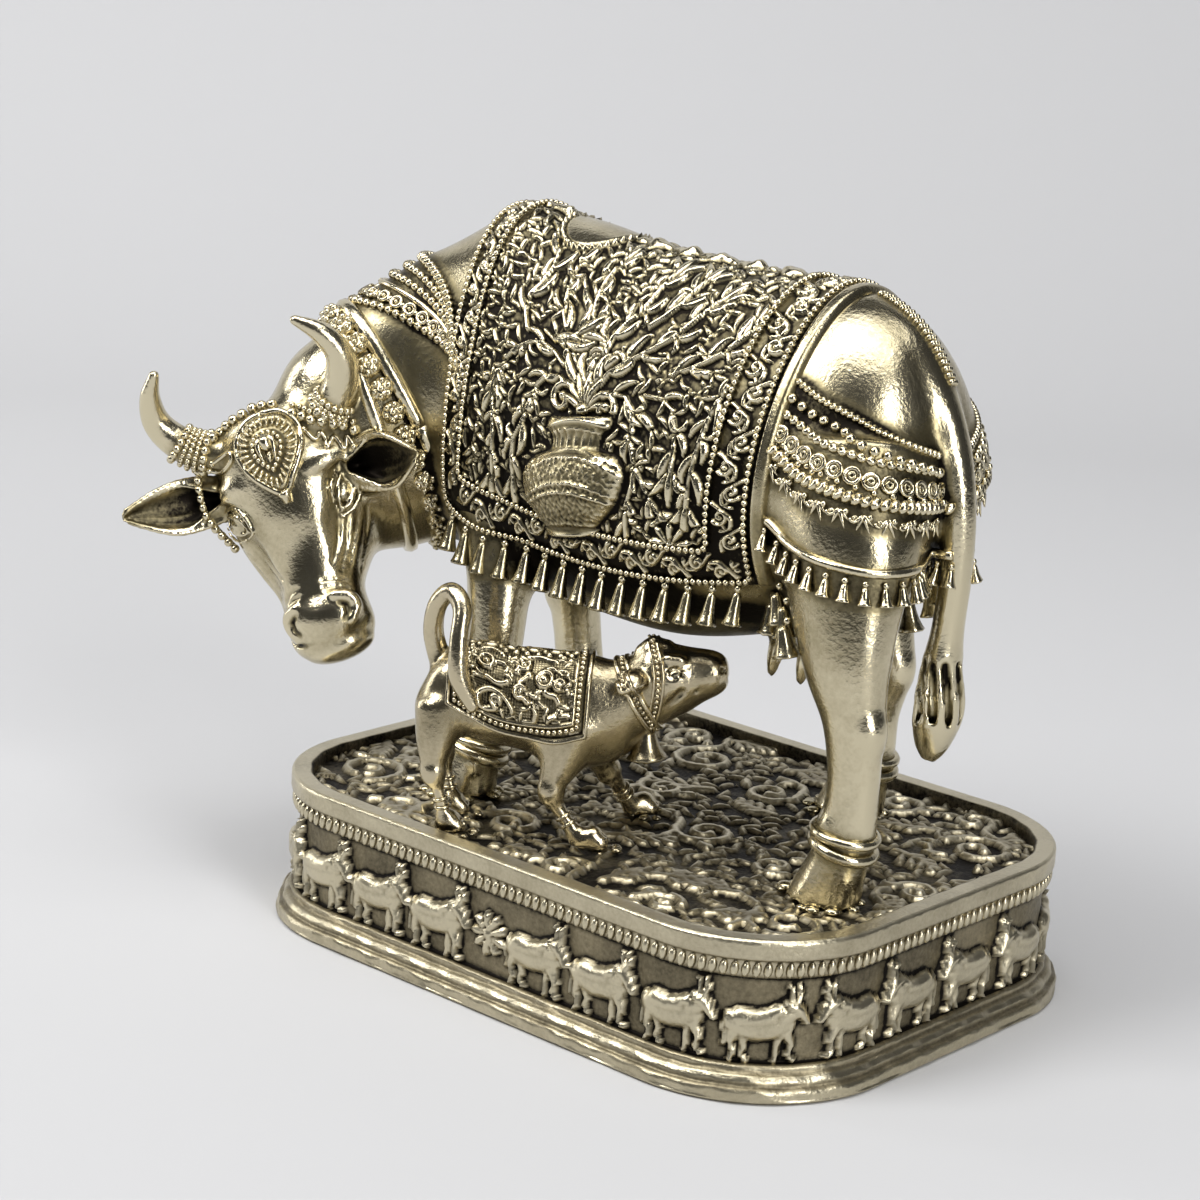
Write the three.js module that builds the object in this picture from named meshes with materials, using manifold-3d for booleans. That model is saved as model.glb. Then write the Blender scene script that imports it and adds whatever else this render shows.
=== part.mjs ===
// Cast brass cow and calf on a rounded oblong plinth: three closed bodies, in millimetres.
// +X runs along the plinth towards the cow's rump, -Y is the side that the calf stands on, +Z is up.
// The origin is the middle of the plinth's underside.
import * as THREE from 'three';
import { mergeVertices } from 'three/addons/utils/BufferGeometryUtils.js';
import Module from 'manifold-3d';

const wasm = await Module();
wasm.setup();

// Driving dimensions of the plinth.
const PLINTH = { length: 120, width: 88.8, height: 25.6, corner: 23.5 };
const FLOOR = 24.2;
const RIM_WIDTH = 3.4;
const FOOT_SPREAD = 2.2;
const FRIEZE_BOTTOM = 5.4;
const FRIEZE_TOP = 19.2;
const FRIEZE_DEPTH = 1.6;
const FRIEZE_COWS = 26;

// Driving dimensions of the cow.
const MIDDLE_Y = 5;
const FOOT_GAP = 0.3;
const COW_FOOT = FLOOR + FOOT_GAP;
const CLOTH_RISE = 1.0;
const TASSELS_A_SIDE = 11;

// Driving dimensions of the calf: it stands askew, under the near side of the belly.
const CALF_TURN = THREE.MathUtils.degToRad(36);
const CALF_PLACE = new THREE.Vector3(-7.9, -27, 0);
const CALF_CLOTH = { rear: -13.4, front: 10.2 };

const vec = (x, y, z) => new THREE.Vector3(x, y, z);

// Geometry helpers.

function solidFrom(geometry) {
  const bare = geometry.clone();
  bare.deleteAttribute('normal');
  bare.deleteAttribute('uv');
  const merged = mergeVertices(bare, 1e-4);
  const mesh = new wasm.Mesh({
    numProp: 3,
    vertProperties: new Float32Array(merged.attributes.position.array),
    triVerts: new Uint32Array(merged.index.array),
  });
  return new wasm.Manifold(mesh);
}

function geometryFrom(solid) {
  const mesh = solid.getMesh();
  const geometry = new THREE.BufferGeometry();
  geometry.setAttribute('position', new THREE.BufferAttribute(new Float32Array(mesh.vertProperties), 3));
  geometry.setIndex(new THREE.BufferAttribute(new Uint32Array(mesh.triVerts), 1));
  geometry.computeVertexNormals();
  return geometry;
}

function joined(solids) {
  return solids.reduce((whole, solid) => whole.add(solid));
}

function signedVolume(points, faces) {
  const cross = new THREE.Vector3();
  return faces.reduce((sum, [a, b, c]) => sum + cross.crossVectors(points[b], points[c]).dot(points[a]), 0);
}

function closedBody(points, faces) {
  const outward = signedVolume(points, faces) > 0 ? faces : faces.map(([a, b, c]) => [a, c, b]);
  const geometry = new THREE.BufferGeometry().setFromPoints(points);
  geometry.setIndex(outward.flat());
  return solidFrom(geometry);
}

// Closed skin over a row of rings that all hold the same number of points, with a fan over either end.
function skin(rings) {
  const count = rings[0].length;
  const middle = (ring) => ring.reduce((sum, p) => sum.add(p), vec(0, 0, 0)).divideScalar(count);
  const points = [...rings.flat(), middle(rings[0]), middle(rings.at(-1))];
  const firstPole = points.length - 2;
  const lastPole = points.length - 1;
  const lastRing = (rings.length - 1) * count;
  const faces = [];
  for (let i = 0; i < count; i++) {
    const next = (i + 1) % count;
    faces.push([firstPole, next, i]);
    faces.push([lastPole, lastRing + i, lastRing + next]);
    for (let r = 0; r < rings.length - 1; r++) {
      const here = r * count;
      const there = here + count;
      faces.push([here + i, here + next, there + next]);
      faces.push([here + i, there + next, there + i]);
    }
  }
  return closedBody(points, faces);
}

// Smooth value between stations that are spaced unevenly along key, by cubic pieces.
function between(stations, key, place, name) {
  const last = stations.length - 1;
  let i = stations.findIndex((s) => s[key] > place) - 1;
  if (i < -1) i = last - 1;
  i = THREE.MathUtils.clamp(i, 0, last - 1);
  const slope = (k) => {
    const a = stations[Math.max(k - 1, 0)];
    const b = stations[Math.min(k + 1, last)];
    return (b[name] - a[name]) / (b[key] - a[key]);
  };
  const span = stations[i + 1][key] - stations[i][key];
  const t = THREE.MathUtils.clamp((place - stations[i][key]) / span, 0, 1);
  const rise = t * t * (3 - 2 * t);
  const start = t * (1 - t) ** 2 * span * slope(i);
  const end = t * t * (t - 1) * span * slope(i + 1);
  return stations[i][name] * (1 - rise) + stations[i + 1][name] * rise + start + end;
}

// A limb is a smooth row of oval sections. Each station holds the centre, the half width along the direction
// across, and the half width square to it.
function limb(stations, across, { sides = 10, steps = 2, from = 0, to = 1, grow = 0, power = 2 } = {}) {
  const rows = stations.map(([at, wide, deep], k) => ({ k, x: at.x, y: at.y, z: at.z, wide, deep }));
  const last = rows.length - 1;
  const spot = (k) => vec(...['x', 'y', 'z'].map((name) => between(rows, 'k', k, name)));
  const count = Math.max(1, Math.round((to - from) * last * steps));
  const rings = [];
  for (let n = 0; n <= count; n++) {
    const k = (from + ((to - from) * n) / count) * last;
    const centre = spot(k);
    const tangent = spot(Math.min(k + 0.05, last)).sub(spot(Math.max(k - 0.05, 0))).normalize();
    const side = across.clone().addScaledVector(tangent, -across.dot(tangent)).normalize();
    const up = tangent.clone().cross(side);
    const wide = between(rows, 'k', k, 'wide') + grow;
    const deep = between(rows, 'k', k, 'deep') + grow;
    rings.push(oval(centre, side, up, wide, deep, sides, power));
  }
  return skin(rings);
}

function oval(centre, side, up, wide, deep, sides, power = 2) {
  return Array.from({ length: sides }, (_, i) => {
    const angle = (2 * Math.PI * (i + 0.5)) / sides;
    const c = Math.cos(angle);
    const s = Math.sin(angle);
    const stretch = (Math.abs(c) ** power + Math.abs(s) ** power) ** (-1 / power);
    return centre.clone().addScaledVector(side, wide * c * stretch).addScaledVector(up, deep * s * stretch);
  });
}

// A round or oval bead, blunt enough to cost few faces.
function bead(centre, radius, scale = vec(1, 1, 1)) {
  const ball = new THREE.OctahedronGeometry(radius, 0);
  ball.scale(scale.x, scale.y, scale.z);
  ball.translate(centre.x, centre.y, centre.z);
  return solidFrom(ball);
}

// What lies under a level is cut away with a block, so that hooves end flat.
function cutBelow(solid, level) {
  const size = 4 * PLINTH.length;
  const block = new THREE.BoxGeometry(size, size, size);
  block.translate(0, 0, level - size / 2);
  return solid.subtract(solidFrom(block));
}

// Plinth: a stack of rounded oblong outlines.

function oblong(inset, z, perCorner = 5) {
  const radius = PLINTH.corner - inset;
  const cx = PLINTH.length / 2 - PLINTH.corner;
  const cy = PLINTH.width / 2 - PLINTH.corner;
  const corners = [[1, 1], [-1, 1], [-1, -1], [1, -1]];
  return corners.flatMap(([sx, sy], q) =>
    Array.from({ length: perCorner }, (_, i) => {
      const angle = (Math.PI / 2) * (q + i / (perCorner - 1));
      return vec(sx * cx + radius * Math.cos(angle), sy * cy + radius * Math.sin(angle), z);
    }));
}

// A point of the plinth's outline, given the distance walked round it from the middle of the near side.
function outlineSpot(distance, inset) {
  const radius = PLINTH.corner - inset;
  const straight = { x: PLINTH.length - 2 * PLINTH.corner, y: PLINTH.width - 2 * PLINTH.corner };
  const arc = (Math.PI / 2) * radius;
  const legs = [straight.x / 2, arc, straight.y, arc, straight.x, arc, straight.y, arc, straight.x / 2];
  let left = THREE.MathUtils.euclideanModulo(distance, legs.reduce((a, b) => a + b));
  let heading = 0;
  const spot = vec(0, -PLINTH.width / 2 + inset, 0);
  for (let k = 0; k < legs.length; k++) {
    const walked = Math.min(left, legs[k]);
    if (k % 2) {
      const turn = walked / radius;
      const out = vec(Math.sin(heading), -Math.cos(heading), 0);
      const centre = spot.clone().addScaledVector(out, -radius);
      heading += turn;
      spot.copy(centre).addScaledVector(vec(Math.sin(heading), -Math.cos(heading), 0), radius);
    } else {
      spot.addScaledVector(vec(Math.cos(heading), Math.sin(heading), 0), walked);
    }
    left -= walked;
    if (left <= 0) break;
  }
  return { spot, heading, out: vec(Math.sin(heading), -Math.cos(heading), 0) };
}

function outlineLength(inset) {
  const radius = PLINTH.corner - inset;
  return 2 * (PLINTH.length + PLINTH.width - 4 * PLINTH.corner) + 2 * Math.PI * radius;
}

// Outline of a walking cow of the frieze, seen from its side and facing +X, from its tail clockwise.
const WALKER = [
  [-5.6, 11], [-5, 16.2], [2.4, 16.4], [5, 18.4], [7.2, 15.4], [4.6, 12.4],
  [5, 5.6], [3, 5.6], [2.2, 10.2], [-2.2, 10], [-2.6, 5.6], [-4.4, 5.6],
];
const WALKER_RELIEF = 1.3;
const WALKER_LENGTH = 0.88;

function friezeCow(distance, facing) {
  const { spot, heading } = outlineSpot(distance, FRIEZE_DEPTH);
  const shape = new THREE.Shape(WALKER.map(([x, z]) => new THREE.Vector2(facing * WALKER_LENGTH * x, z)));
  const plate = new THREE.ExtrudeGeometry(shape, { depth: WALKER_RELIEF + 2, bevelEnabled: false });
  plate.rotateX(Math.PI / 2);
  plate.translate(0, 2, 0);
  plate.rotateZ(heading);
  plate.translate(spot.x, spot.y, 0);
  return solidFrom(plate);
}

function frieze() {
  const length = outlineLength(FRIEZE_DEPTH);
  const pitch = length / FRIEZE_COWS;
  const cows = [];
  for (let n = 0; n < FRIEZE_COWS; n++) {
    const distance = (n + 0.5) * pitch;
    const nearCorner = PLINTH.length / 2 - PLINTH.corner + (Math.PI / 4) * PLINTH.corner;
    const facing = distance > nearCorner && distance < length / 2 + nearCorner ? -1 : 1;
    cows.push(friezeCow(distance, facing));
  }
  return cows;
}

// One spiral tendril of the floor's scrollwork, a flat ribbon that stands on the sunk floor.
function tendril([x, y], radius, start, turns) {
  const turn = Math.PI * 2 * turns;
  const steps = 6;
  const rings = [];
  for (let n = 0; n <= steps; n++) {
    const share = n / steps;
    const angle = start + turn * share;
    const reach = radius * (1 - 0.75 * share);
    const half = 0.95 * (1 - 0.5 * share);
    const out = vec(Math.cos(angle), Math.sin(angle), 0);
    const at = vec(x, y, 0).addScaledVector(out, reach);
    rings.push([
      at.clone().addScaledVector(out, half).setZ(FLOOR - 1),
      at.clone().addScaledVector(out, half * 0.8).setZ(FLOOR),
      at.clone().addScaledVector(out, -half * 0.8).setZ(FLOOR),
      at.clone().addScaledVector(out, -half).setZ(FLOOR - 1),
    ]);
  }
  return skin(rings);
}

function makePlinth() {
  const sunk = FLOOR - 0.6;
  const profile = [
    [-FOOT_SPREAD, 0],
    [-FOOT_SPREAD, 2.2],
    [-0.8, 4.2],
    [0.2, FRIEZE_BOTTOM],
    [FRIEZE_DEPTH, FRIEZE_BOTTOM],
    [FRIEZE_DEPTH, FRIEZE_TOP],
    [0.9, FRIEZE_TOP + 0.5],
    [0.9, FRIEZE_TOP + 2.1],
    [0, FRIEZE_TOP + 2.7],
    [0, PLINTH.height - 0.4],
    [0.4, PLINTH.height],
    [RIM_WIDTH, PLINTH.height],
    [RIM_WIDTH + 0.3, sunk],
  ];
  const body = skin(profile.map(([inset, z]) => oblong(inset, z)));
  const scrolls = [];
  for (const side of [-1, 1]) {
    for (let n = 0; n < 4; n++) {
      const x = -39 + 26 * n;
      scrolls.push(tendril([x, side * 27], 8.2, side * (n % 2 ? 0.5 : -2.6), side * (n % 2 ? 1.2 : -1.2)));
    }
  }
  return joined([body, ...frieze(), ...scrolls]);
}

// Cow: the trunk's sections stand square to X, with top, bottom and half width at each station.
const TRUNK = [
  { x: -56, top: 96, bottom: 78, half: 8 },
  { x: -53, top: 108, bottom: 68, half: 13.5 },
  { x: -47, top: 118, bottom: 60, half: 18 },
  { x: -40, top: 120.5, bottom: 57, half: 20.5 },
  { x: -30, top: 118.6, bottom: 55.5, half: 22 },
  { x: -16, top: 117, bottom: 54.5, half: 23 },
  { x: 0, top: 116.3, bottom: 54.5, half: 23.5 },
  { x: 14, top: 116.2, bottom: 57.5, half: 23 },
  { x: 26, top: 116.6, bottom: 62, half: 21.2 },
  { x: 34, top: 115.2, bottom: 65, half: 19.4 },
  { x: 41, top: 110.5, bottom: 69, half: 16.4 },
  { x: 45.5, top: 103.5, bottom: 75, half: 12.2 },
  { x: 48, top: 96, bottom: 82, half: 7 },
];
const TRUNK_TAPER = 0.14;

function trunkSpot(x, angle, rise = 0) {
  const [top, bottom, half] = ['top', 'bottom', 'half'].map((name) => between(TRUNK, 'x', x, name));
  const s = Math.sin(angle);
  const wide = (half + rise) * (1 - TRUNK_TAPER * s);
  const tall = (top - bottom) / 2 + rise;
  return vec(x, MIDDLE_Y + wide * Math.cos(angle), (top + bottom) / 2 + tall * s);
}

// Angle of the trunk's section at which its skin passes a height, on the near side or the far side.
function trunkAngle(x, z, near) {
  const [top, bottom] = ['top', 'bottom'].map((name) => between(TRUNK, 'x', x, name));
  const s = THREE.MathUtils.clamp((z - (top + bottom) / 2) / ((top - bottom) / 2), -1, 1);
  return near ? Math.PI - Math.asin(s) : Math.asin(s);
}

function makeTrunk(rise = 0) {
  const sides = 16;
  const places = [-56, -53, -49, -44, -38, -28, -14, 0, 14, 24, 31, 37, 41.5, 45, 48];
  const ring = (x) => Array.from({ length: sides }, (_, i) => trunkSpot(x, (2 * Math.PI * i) / sides, rise));
  return skin(places.map(ring));
}

// The cloth over the back: edges in front and behind, and the height of the lower hem.
const clothFront = (share) => -41 - 4.5 * Math.sin(Math.PI * share) ** 4;
const clothRear = (share) => 29 + 1.5 * Math.sin(Math.PI * share) ** 2;
const hemHeight = (x) => 67.6 + 0.0035 * (x + 6) ** 2;

// A spot on the cloth: along runs from its front edge to its rear edge, share from near hem to far hem.
function clothSpot(along, share, rise) {
  const x = THREE.MathUtils.lerp(clothFront(share), clothRear(share), along);
  const nearHem = trunkAngle(x, hemHeight(x), true);
  const farHem = trunkAngle(x, hemHeight(x), false);
  return trunkSpot(x, THREE.MathUtils.lerp(nearHem, farHem, share), rise);
}

// Lines of a cloth's grid from one edge to its middle: place, and whether it stands up as a raised border.
const ALONG_HALF = [[0, 1], [0.04, 1], [0.055, 0], [0.12, 1], [0.14, 0], [0.32, 0]];
const SHARE_HALF = [[0, 1], [0.03, 1], [0.042, 0], [0.09, 1], [0.105, 0], [0.24, 0], [0.37, 0]];

// Both halves of a cloth's grid lines, mirrored about the middle.
function mirrored(half, middle = []) {
  return [...half, ...middle, ...half.toReversed().map(([line, hem]) => [1 - line, hem])];
}

// Closed slab over a curved surface: spot gives the place at two shares of the way and a rise above it.
function clothSlab(alongLines, shareLines, spot, { rise, hem, sunk }) {
  const rings = alongLines.map(([along, ahead]) => {
    const lift = (beside) => rise + hem * Math.max(ahead, beside);
    const outer = shareLines.map(([share, beside]) => spot(along, share, lift(beside)));
    const inner = shareLines.map(([share]) => spot(along, share, -sunk)).reverse();
    return [...outer, ...inner];
  });
  return patchSkin(rings);
}

// Closed skin over thin curved sections: the ends are closed strip by strip, outer edge to inner edge.
function patchSkin(rings) {
  const count = rings[0].length;
  const half = count / 2;
  const points = rings.flat();
  const faces = [];
  for (let r = 0; r < rings.length - 1; r++) {
    for (let i = 0; i < count; i++) {
      const next = (i + 1) % count;
      const here = r * count;
      const there = here + count;
      faces.push([here + i, here + next, there + next]);
      faces.push([here + i, there + next, there + i]);
    }
  }
  for (const [base, flip] of [[0, true], [(rings.length - 1) * count, false]]) {
    for (let i = 0; i < half - 1; i++) {
      const corners = [base + i, base + i + 1, base + count - 2 - i, base + count - 1 - i];
      const [a, b, c, d] = flip ? [...corners].reverse() : corners;
      faces.push([a, b, c], [a, c, d]);
    }
  }
  return closedBody(points, faces);
}

function makeCloth() {
  const middle = [[0.5, 0]];
  const grid = [mirrored(ALONG_HALF, middle), mirrored(SHARE_HALF, middle)];
  const slab = clothSlab(...grid, clothSpot, { rise: CLOTH_RISE, hem: 0.8, sunk: 1.2 });
  return joined([slab, ...[true, false].flatMap((near) => [pot(near), ...bouquet(near)]), ...tassels()]);
}

// The full pot in relief on either side of the cloth: foot, belly, neck and lip.
const POT = { x: -11, z: 81, belly: 10.7, flattened: 0.36 };

function pot(near) {
  const profile = [
    [0, -9.5], [5.7, -9.5], [6.1, -8.4], [4.5, -7.6], [8.2, -5.2], [POT.belly, -1.6],
    [10.0, 2.0], [6.2, 4.6], [4.0, 5.4], [4.1, 7.2], [6.0, 8.4], [6.0, 9.5], [0, 9.5],
  ];
  const outline = profile.map(([r, z]) => new THREE.Vector2(r, z));
  const lathe = new THREE.LatheGeometry(outline, 7);
  lathe.rotateX(Math.PI / 2);
  lathe.scale(1, POT.flattened, 1);
  const spot = trunkSpot(POT.x, trunkAngle(POT.x, POT.z, near), CLOTH_RISE);
  lathe.translate(spot.x, spot.y, POT.z);
  return solidFrom(lathe);
}

// Leafy sprays that fan out of the pot over the cloth.
function bouquet(near) {
  const leaves = [];
  const stems = 5;
  const leavesPerStem = 2;
  for (let n = 0; n < stems; n++) {
    const lean = THREE.MathUtils.lerp(-1.25, 1.25, n / (stems - 1));
    for (let k = 1; k <= leavesPerStem; k++) {
      const reach = 9.6 * k;
      const x = POT.x + reach * Math.sin(lean) * 1.25;
      const z = POT.z + 9.5 + reach * Math.cos(lean) * 0.85;
      leaves.push(leaf(x, z, lean, near));
    }
  }
  return leaves;
}

const LEAF_THICK = 1.3;

function leaf(x, z, lean, near) {
  const angle = trunkAngle(x, Math.min(z, 112), near);
  const spot = trunkSpot(x, angle, CLOTH_RISE - LEAF_THICK / 2);
  const blade = new THREE.OctahedronGeometry(1, 0);
  blade.scale(1.9, LEAF_THICK, 4.6);
  blade.rotateY(lean);
  const out = trunkSpot(x, angle, CLOTH_RISE + 1).sub(spot).normalize();
  blade.applyQuaternion(new THREE.Quaternion().setFromUnitVectors(vec(0, Math.sign(out.y), 0), out));
  blade.translate(spot.x, spot.y, spot.z);
  return solidFrom(blade);
}

function tassels() {
  return [0, 1].flatMap((share) =>
    Array.from({ length: TASSELS_A_SIDE }, (_, n) => {
      const root = clothSpot((n + 0.5) / TASSELS_A_SIDE, share, CLOTH_RISE);
      const cone = new THREE.CylinderGeometry(0.6, 1.6, 6.4, 3);
      cone.rotateX(Math.PI / 2);
      cone.translate(root.x, root.y + (share ? 0.2 : -0.2), root.z - 2.9);
      return solidFrom(cone);
    }));
}

// Legs: rows of [centre, half width along Y, half depth along X], from inside the trunk down to the hoof.
const LEGS = {
  nearHind: [
    [vec(38, -4, 92), 11, 10],
    [vec(41, -8.5, 81), 10, 10.6],
    [vec(42.4, -11.5, 72), 7.6, 9.6],
    [vec(45, -13.5, 62.5), 5.8, 7.2],
    [vec(47.4, -14, 54), 4.2, 5.0],
    [vec(48.3, -14, 45), 3.6, 4.2],
    [vec(48, -14, 37), 4.0, 4.4],
    [vec(46.8, -14, 31.5), 4.2, 4.6],
    [vec(44, -14, COW_FOOT - 2), 5.4, 6.2],
  ],
  farHind: [
    [vec(34, 13, 92), 11, 10],
    [vec(29, 17.5, 81), 10, 10.6],
    [vec(23.5, 21.5, 72), 7.6, 9.6],
    [vec(22, 23.5, 62.5), 5.8, 7.2],
    [vec(25.2, 24, 52), 4.2, 5.0],
    [vec(24, 24, 43), 3.6, 4.2],
    [vec(23.4, 24, 36), 4.0, 4.4],
    [vec(22.4, 24, 31), 4.2, 4.6],
    [vec(20, 24, COW_FOOT - 2), 5.4, 6.2],
  ],
  nearFront: [
    [vec(-36, -5, 80), 9, 11],
    [vec(-32, -9.5, 70), 7.6, 8.6],
    [vec(-28.5, -14, 61), 5.2, 5.6],
    [vec(-26.6, -16.5, 50), 4.2, 4.5],
    [vec(-26, -18, 41), 3.7, 3.8],
    [vec(-26.2, -19, 34), 3.9, 4.1],
    [vec(-27, -19.8, 30), 4.0, 4.3],
    [vec(-29, -20.5, COW_FOOT - 2), 5.2, 5.8],
  ],
  farFront: [
    [vec(-37, 13, 80), 9, 11],
    [vec(-40, 17, 70), 7.6, 8.6],
    [vec(-42.5, 20.5, 61), 5.2, 5.6],
    [vec(-44.6, 23, 50), 4.2, 4.5],
    [vec(-44, 24, 41), 3.8, 4.0],
    [vec(-43, 24, 34), 3.9, 4.1],
    [vec(-43.2, 24, 30), 4.0, 4.3],
    [vec(-45, 24, COW_FOOT - 2), 5.2, 5.8],
  ],
};

function makeLegs() {
  return Object.values(LEGS).flatMap((stations) => {
    const last = stations.length - 1;
    const anklet = { sides: 6, steps: 1, from: (last - 1.75) / last, to: (last - 1.35) / last, grow: 1.1 };
    return [limb(stations, vec(0, 1, 0), { sides: 8, steps: 1 }), limb(stations, vec(0, 1, 0), anklet)];
  });
}

// Neck, which turns from the trunk's front towards the near side, with the collar and garlands round it.
const NECK = [
  [vec(-38, 4, 90), 15, 27],
  [vec(-48, 1, 88.5), 14, 25.5],
  [vec(-55, -7, 84.5), 12.6, 22.8],
  [vec(-59.5, -15, 80), 11.4, 20.6],
  [vec(-64.5, -22.5, 77.6), 9.4, 16.6],
  [vec(-67, -28, 76), 6.5, 9],
];

function makeNeck() {
  const across = vec(0.75, -0.66, 0);
  const bands = [[0.5, 0.53, 1.0], [0.61, 0.64, 1.0], [0.33, 0.37, 0.9]];
  const sleeve = ([from, to, grow]) => limb(NECK, across, { sides: 10, steps: 1, from, to, grow });
  const sleeves = bands.map(sleeve);
  return [limb(NECK, across, { sides: 10, steps: 1.4 }), ...sleeves];
}

// Head: its own frame has left along the brow, down along the face to the muzzle, and out of the forehead.
const HEAD = {
  poll: vec(-64.6, -37.2, 82.4),
  left: vec(0.774, 0.463, 0.431).normalize(),
  down: vec(0.451, 0.075, -0.89),
};
HEAD.down.addScaledVector(HEAD.left, -HEAD.down.dot(HEAD.left)).normalize();
HEAD.out = HEAD.down.clone().cross(HEAD.left);

function headSpot(left, down, out) {
  return HEAD.poll.clone().addScaledVector(HEAD.left, left).addScaledVector(HEAD.down, down)
    .addScaledVector(HEAD.out, out);
}

const SKULL = [
  [-3.5, -9, 5.4, 5],
  [0, -8.8, 9.4, 8.2],
  [7, -9.4, 11.6, 10],
  [14, -10.4, 12.8, 11.2],
  [20, -10.4, 12.4, 11],
  [25, -8.6, 10.2, 9],
  [29, -6.6, 7.2, 7],
  [33.5, -5.6, 7.3, 6.6],
  [37.6, -5.6, 7.6, 6],
  [40.4, -6, 4.8, 4],
].map(([down, out, wide, deep]) => [headSpot(-1.4, down, out), wide, deep]);

function horn(side) {
  return [
    [headSpot(side * 6.5, 2.5, -6), 3.3, 3.3],
    [headSpot(side * 11.5, 0.6, -5), 3.3, 3.3],
    [headSpot(side * 15.6, -2.8, -3.6), 3.0, 3.0],
    [headSpot(side * 17.6, -7.2, -1.6), 2.5, 2.5],
    [headSpot(side * 16.4, -11.4, 0.8), 1.8, 1.8],
    [headSpot(side * 13.6, -14.6, 2.6), 0.8, 0.8],
  ];
}

// The ear on the viewer's left is held up, the other is held down.
const EARS = [
  [[-10, 8.6, -8, 3.0, 2.6], [-16.4, 7.8, -6, 4.6, 2.6], [-21.6, 7.4, -2.5, 4.2, 2.0], [-28, 6, 2, 0.7, 0.6]],
  [[10, 10.6, -8, 3.4, 2.6], [14.4, 11.6, -6.6, 4.9, 2.8], [19.4, 12.4, -3.8, 4.9, 2.4], [25.2, 13.4, 0, 0.8, 0.7]],
];

function makeHead() {
  const parts = [limb(SKULL, HEAD.left, { sides: 10, steps: 1, power: 2.3 })];
  for (const side of [-1, 1]) {
    parts.push(limb(horn(side), HEAD.out, { sides: 6, steps: 1 }));
    parts.push(limb(horn(side), HEAD.out, { sides: 6, steps: 1, from: 0.2, to: 0.34, grow: 0.9 }));
    parts.push(bead(headSpot(side * 9.6 - 1, 14, -3.4), 2.4));
  }
  for (const ear of EARS) {
    const stations = ear.map(([left, down, out, wide, deep]) => [headSpot(left, down, out), wide, deep]);
    parts.push(limb(stations, HEAD.down, { sides: 6, steps: 1 }));
  }
  const crest = [
    [headSpot(0, 0.5, -1.5), 2.2, 1.6],
    [headSpot(0, 5, -0.6), 5.4, 2.0],
    [headSpot(0, 9, -0.4), 3.6, 1.7],
    [headSpot(0, 13.2, -0.8), 0.5, 1.2],
  ];
  parts.push(limb(crest, HEAD.left, { sides: 6, steps: 1 }));
  return parts;
}

// Tail, which lies on the rump and then hangs clear of the legs, with a fluted tuft.
const TAIL = [
  [vec(30, 5, 113), 3, 2.5],
  [vec(38, 5, 109), 3, 2.6],
  [vec(43.8, 5, 102.5), 2.8, 2.6],
  [vec(47.8, 5, 95), 2.6, 2.4],
  [vec(50.2, 5, 86), 2.2, 2.1],
  [vec(50.8, 5, 76), 2.1, 1.9],
  [vec(50.2, 5, 66), 2.3, 1.9],
  [vec(49.8, 5, 60), 3.2, 2.6],
  [vec(49.8, 5, 53), 4.2, 3.2],
  [vec(49.2, 5, 47.5), 2.6, 2.2],
  [vec(48.8, 5, 44.5), 0.6, 0.6],
];

// Bands over both haunches, cut as sloping slices out of a slightly swollen copy of trunk and hind legs.
const BANDS = { heights: [100, 91, 77], front: 27, rear: 43.5, thick: 2.2, slope: -0.42, rise: 1.2 };

function haunchBands() {
  const grown = { sides: 8, steps: 1, grow: BANDS.rise };
  const swollen = joined([
    makeTrunk(BANDS.rise),
    limb(LEGS.nearHind, vec(0, 1, 0), grown),
    limb(LEGS.farHind, vec(0, 1, 0), grown),
  ]);
  const slices = BANDS.heights.map((height) => {
    const slice = new THREE.BoxGeometry(BANDS.rear - BANDS.front, PLINTH.width, BANDS.thick);
    slice.rotateY(-Math.atan(BANDS.slope));
    slice.translate((BANDS.rear + BANDS.front) / 2, 0, height);
    return solidFrom(slice);
  });
  return swollen.intersect(joined(slices));
}

function makeCow() {
  const udder = [
    [vec(24, 4, 66), 8, 7],
    [vec(25, 4, 60), 7, 6],
    [vec(25, 4, 57), 4, 4],
  ];
  const teats = [[22, -1], [28, -1], [22, 8], [28, 8]].map(([x, y]) => [
    [vec(x, y, 61), 1.4, 1.4],
    [vec(x - 0.8, y - 0.4, 56), 1.3, 1.3],
    [vec(x - 1.6, y - 0.8, 53.5), 0.8, 0.8],
  ]);
  const cow = joined([
    makeTrunk(),
    ...makeLegs(),
    ...makeNeck(),
    ...makeHead(),
    makeCloth(),
    haunchBands(),
    limb(TAIL, vec(0, 1, 0), { sides: 8, steps: 1 }),
    limb(udder, vec(0, 1, 0), { sides: 8, steps: 1 }),
    ...teats.map((teat) => limb(teat, vec(0, 1, 0), { sides: 4, steps: 1 })),
  ]);
  return cutBelow(cow, COW_FOOT);
}

// Calf: along runs from rump to muzzle, side is positive away from the viewer's side.
function calfSpot(along, side, z) {
  return vec(along, side, z).applyAxisAngle(vec(0, 0, 1), CALF_TURN).add(CALF_PLACE);
}

const calfAcross = vec(0, 1, 0).applyAxisAngle(vec(0, 0, 1), CALF_TURN);
const calfRow = (along, side, z, wide, deep) => [calfSpot(along, side, z), wide, deep];

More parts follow.
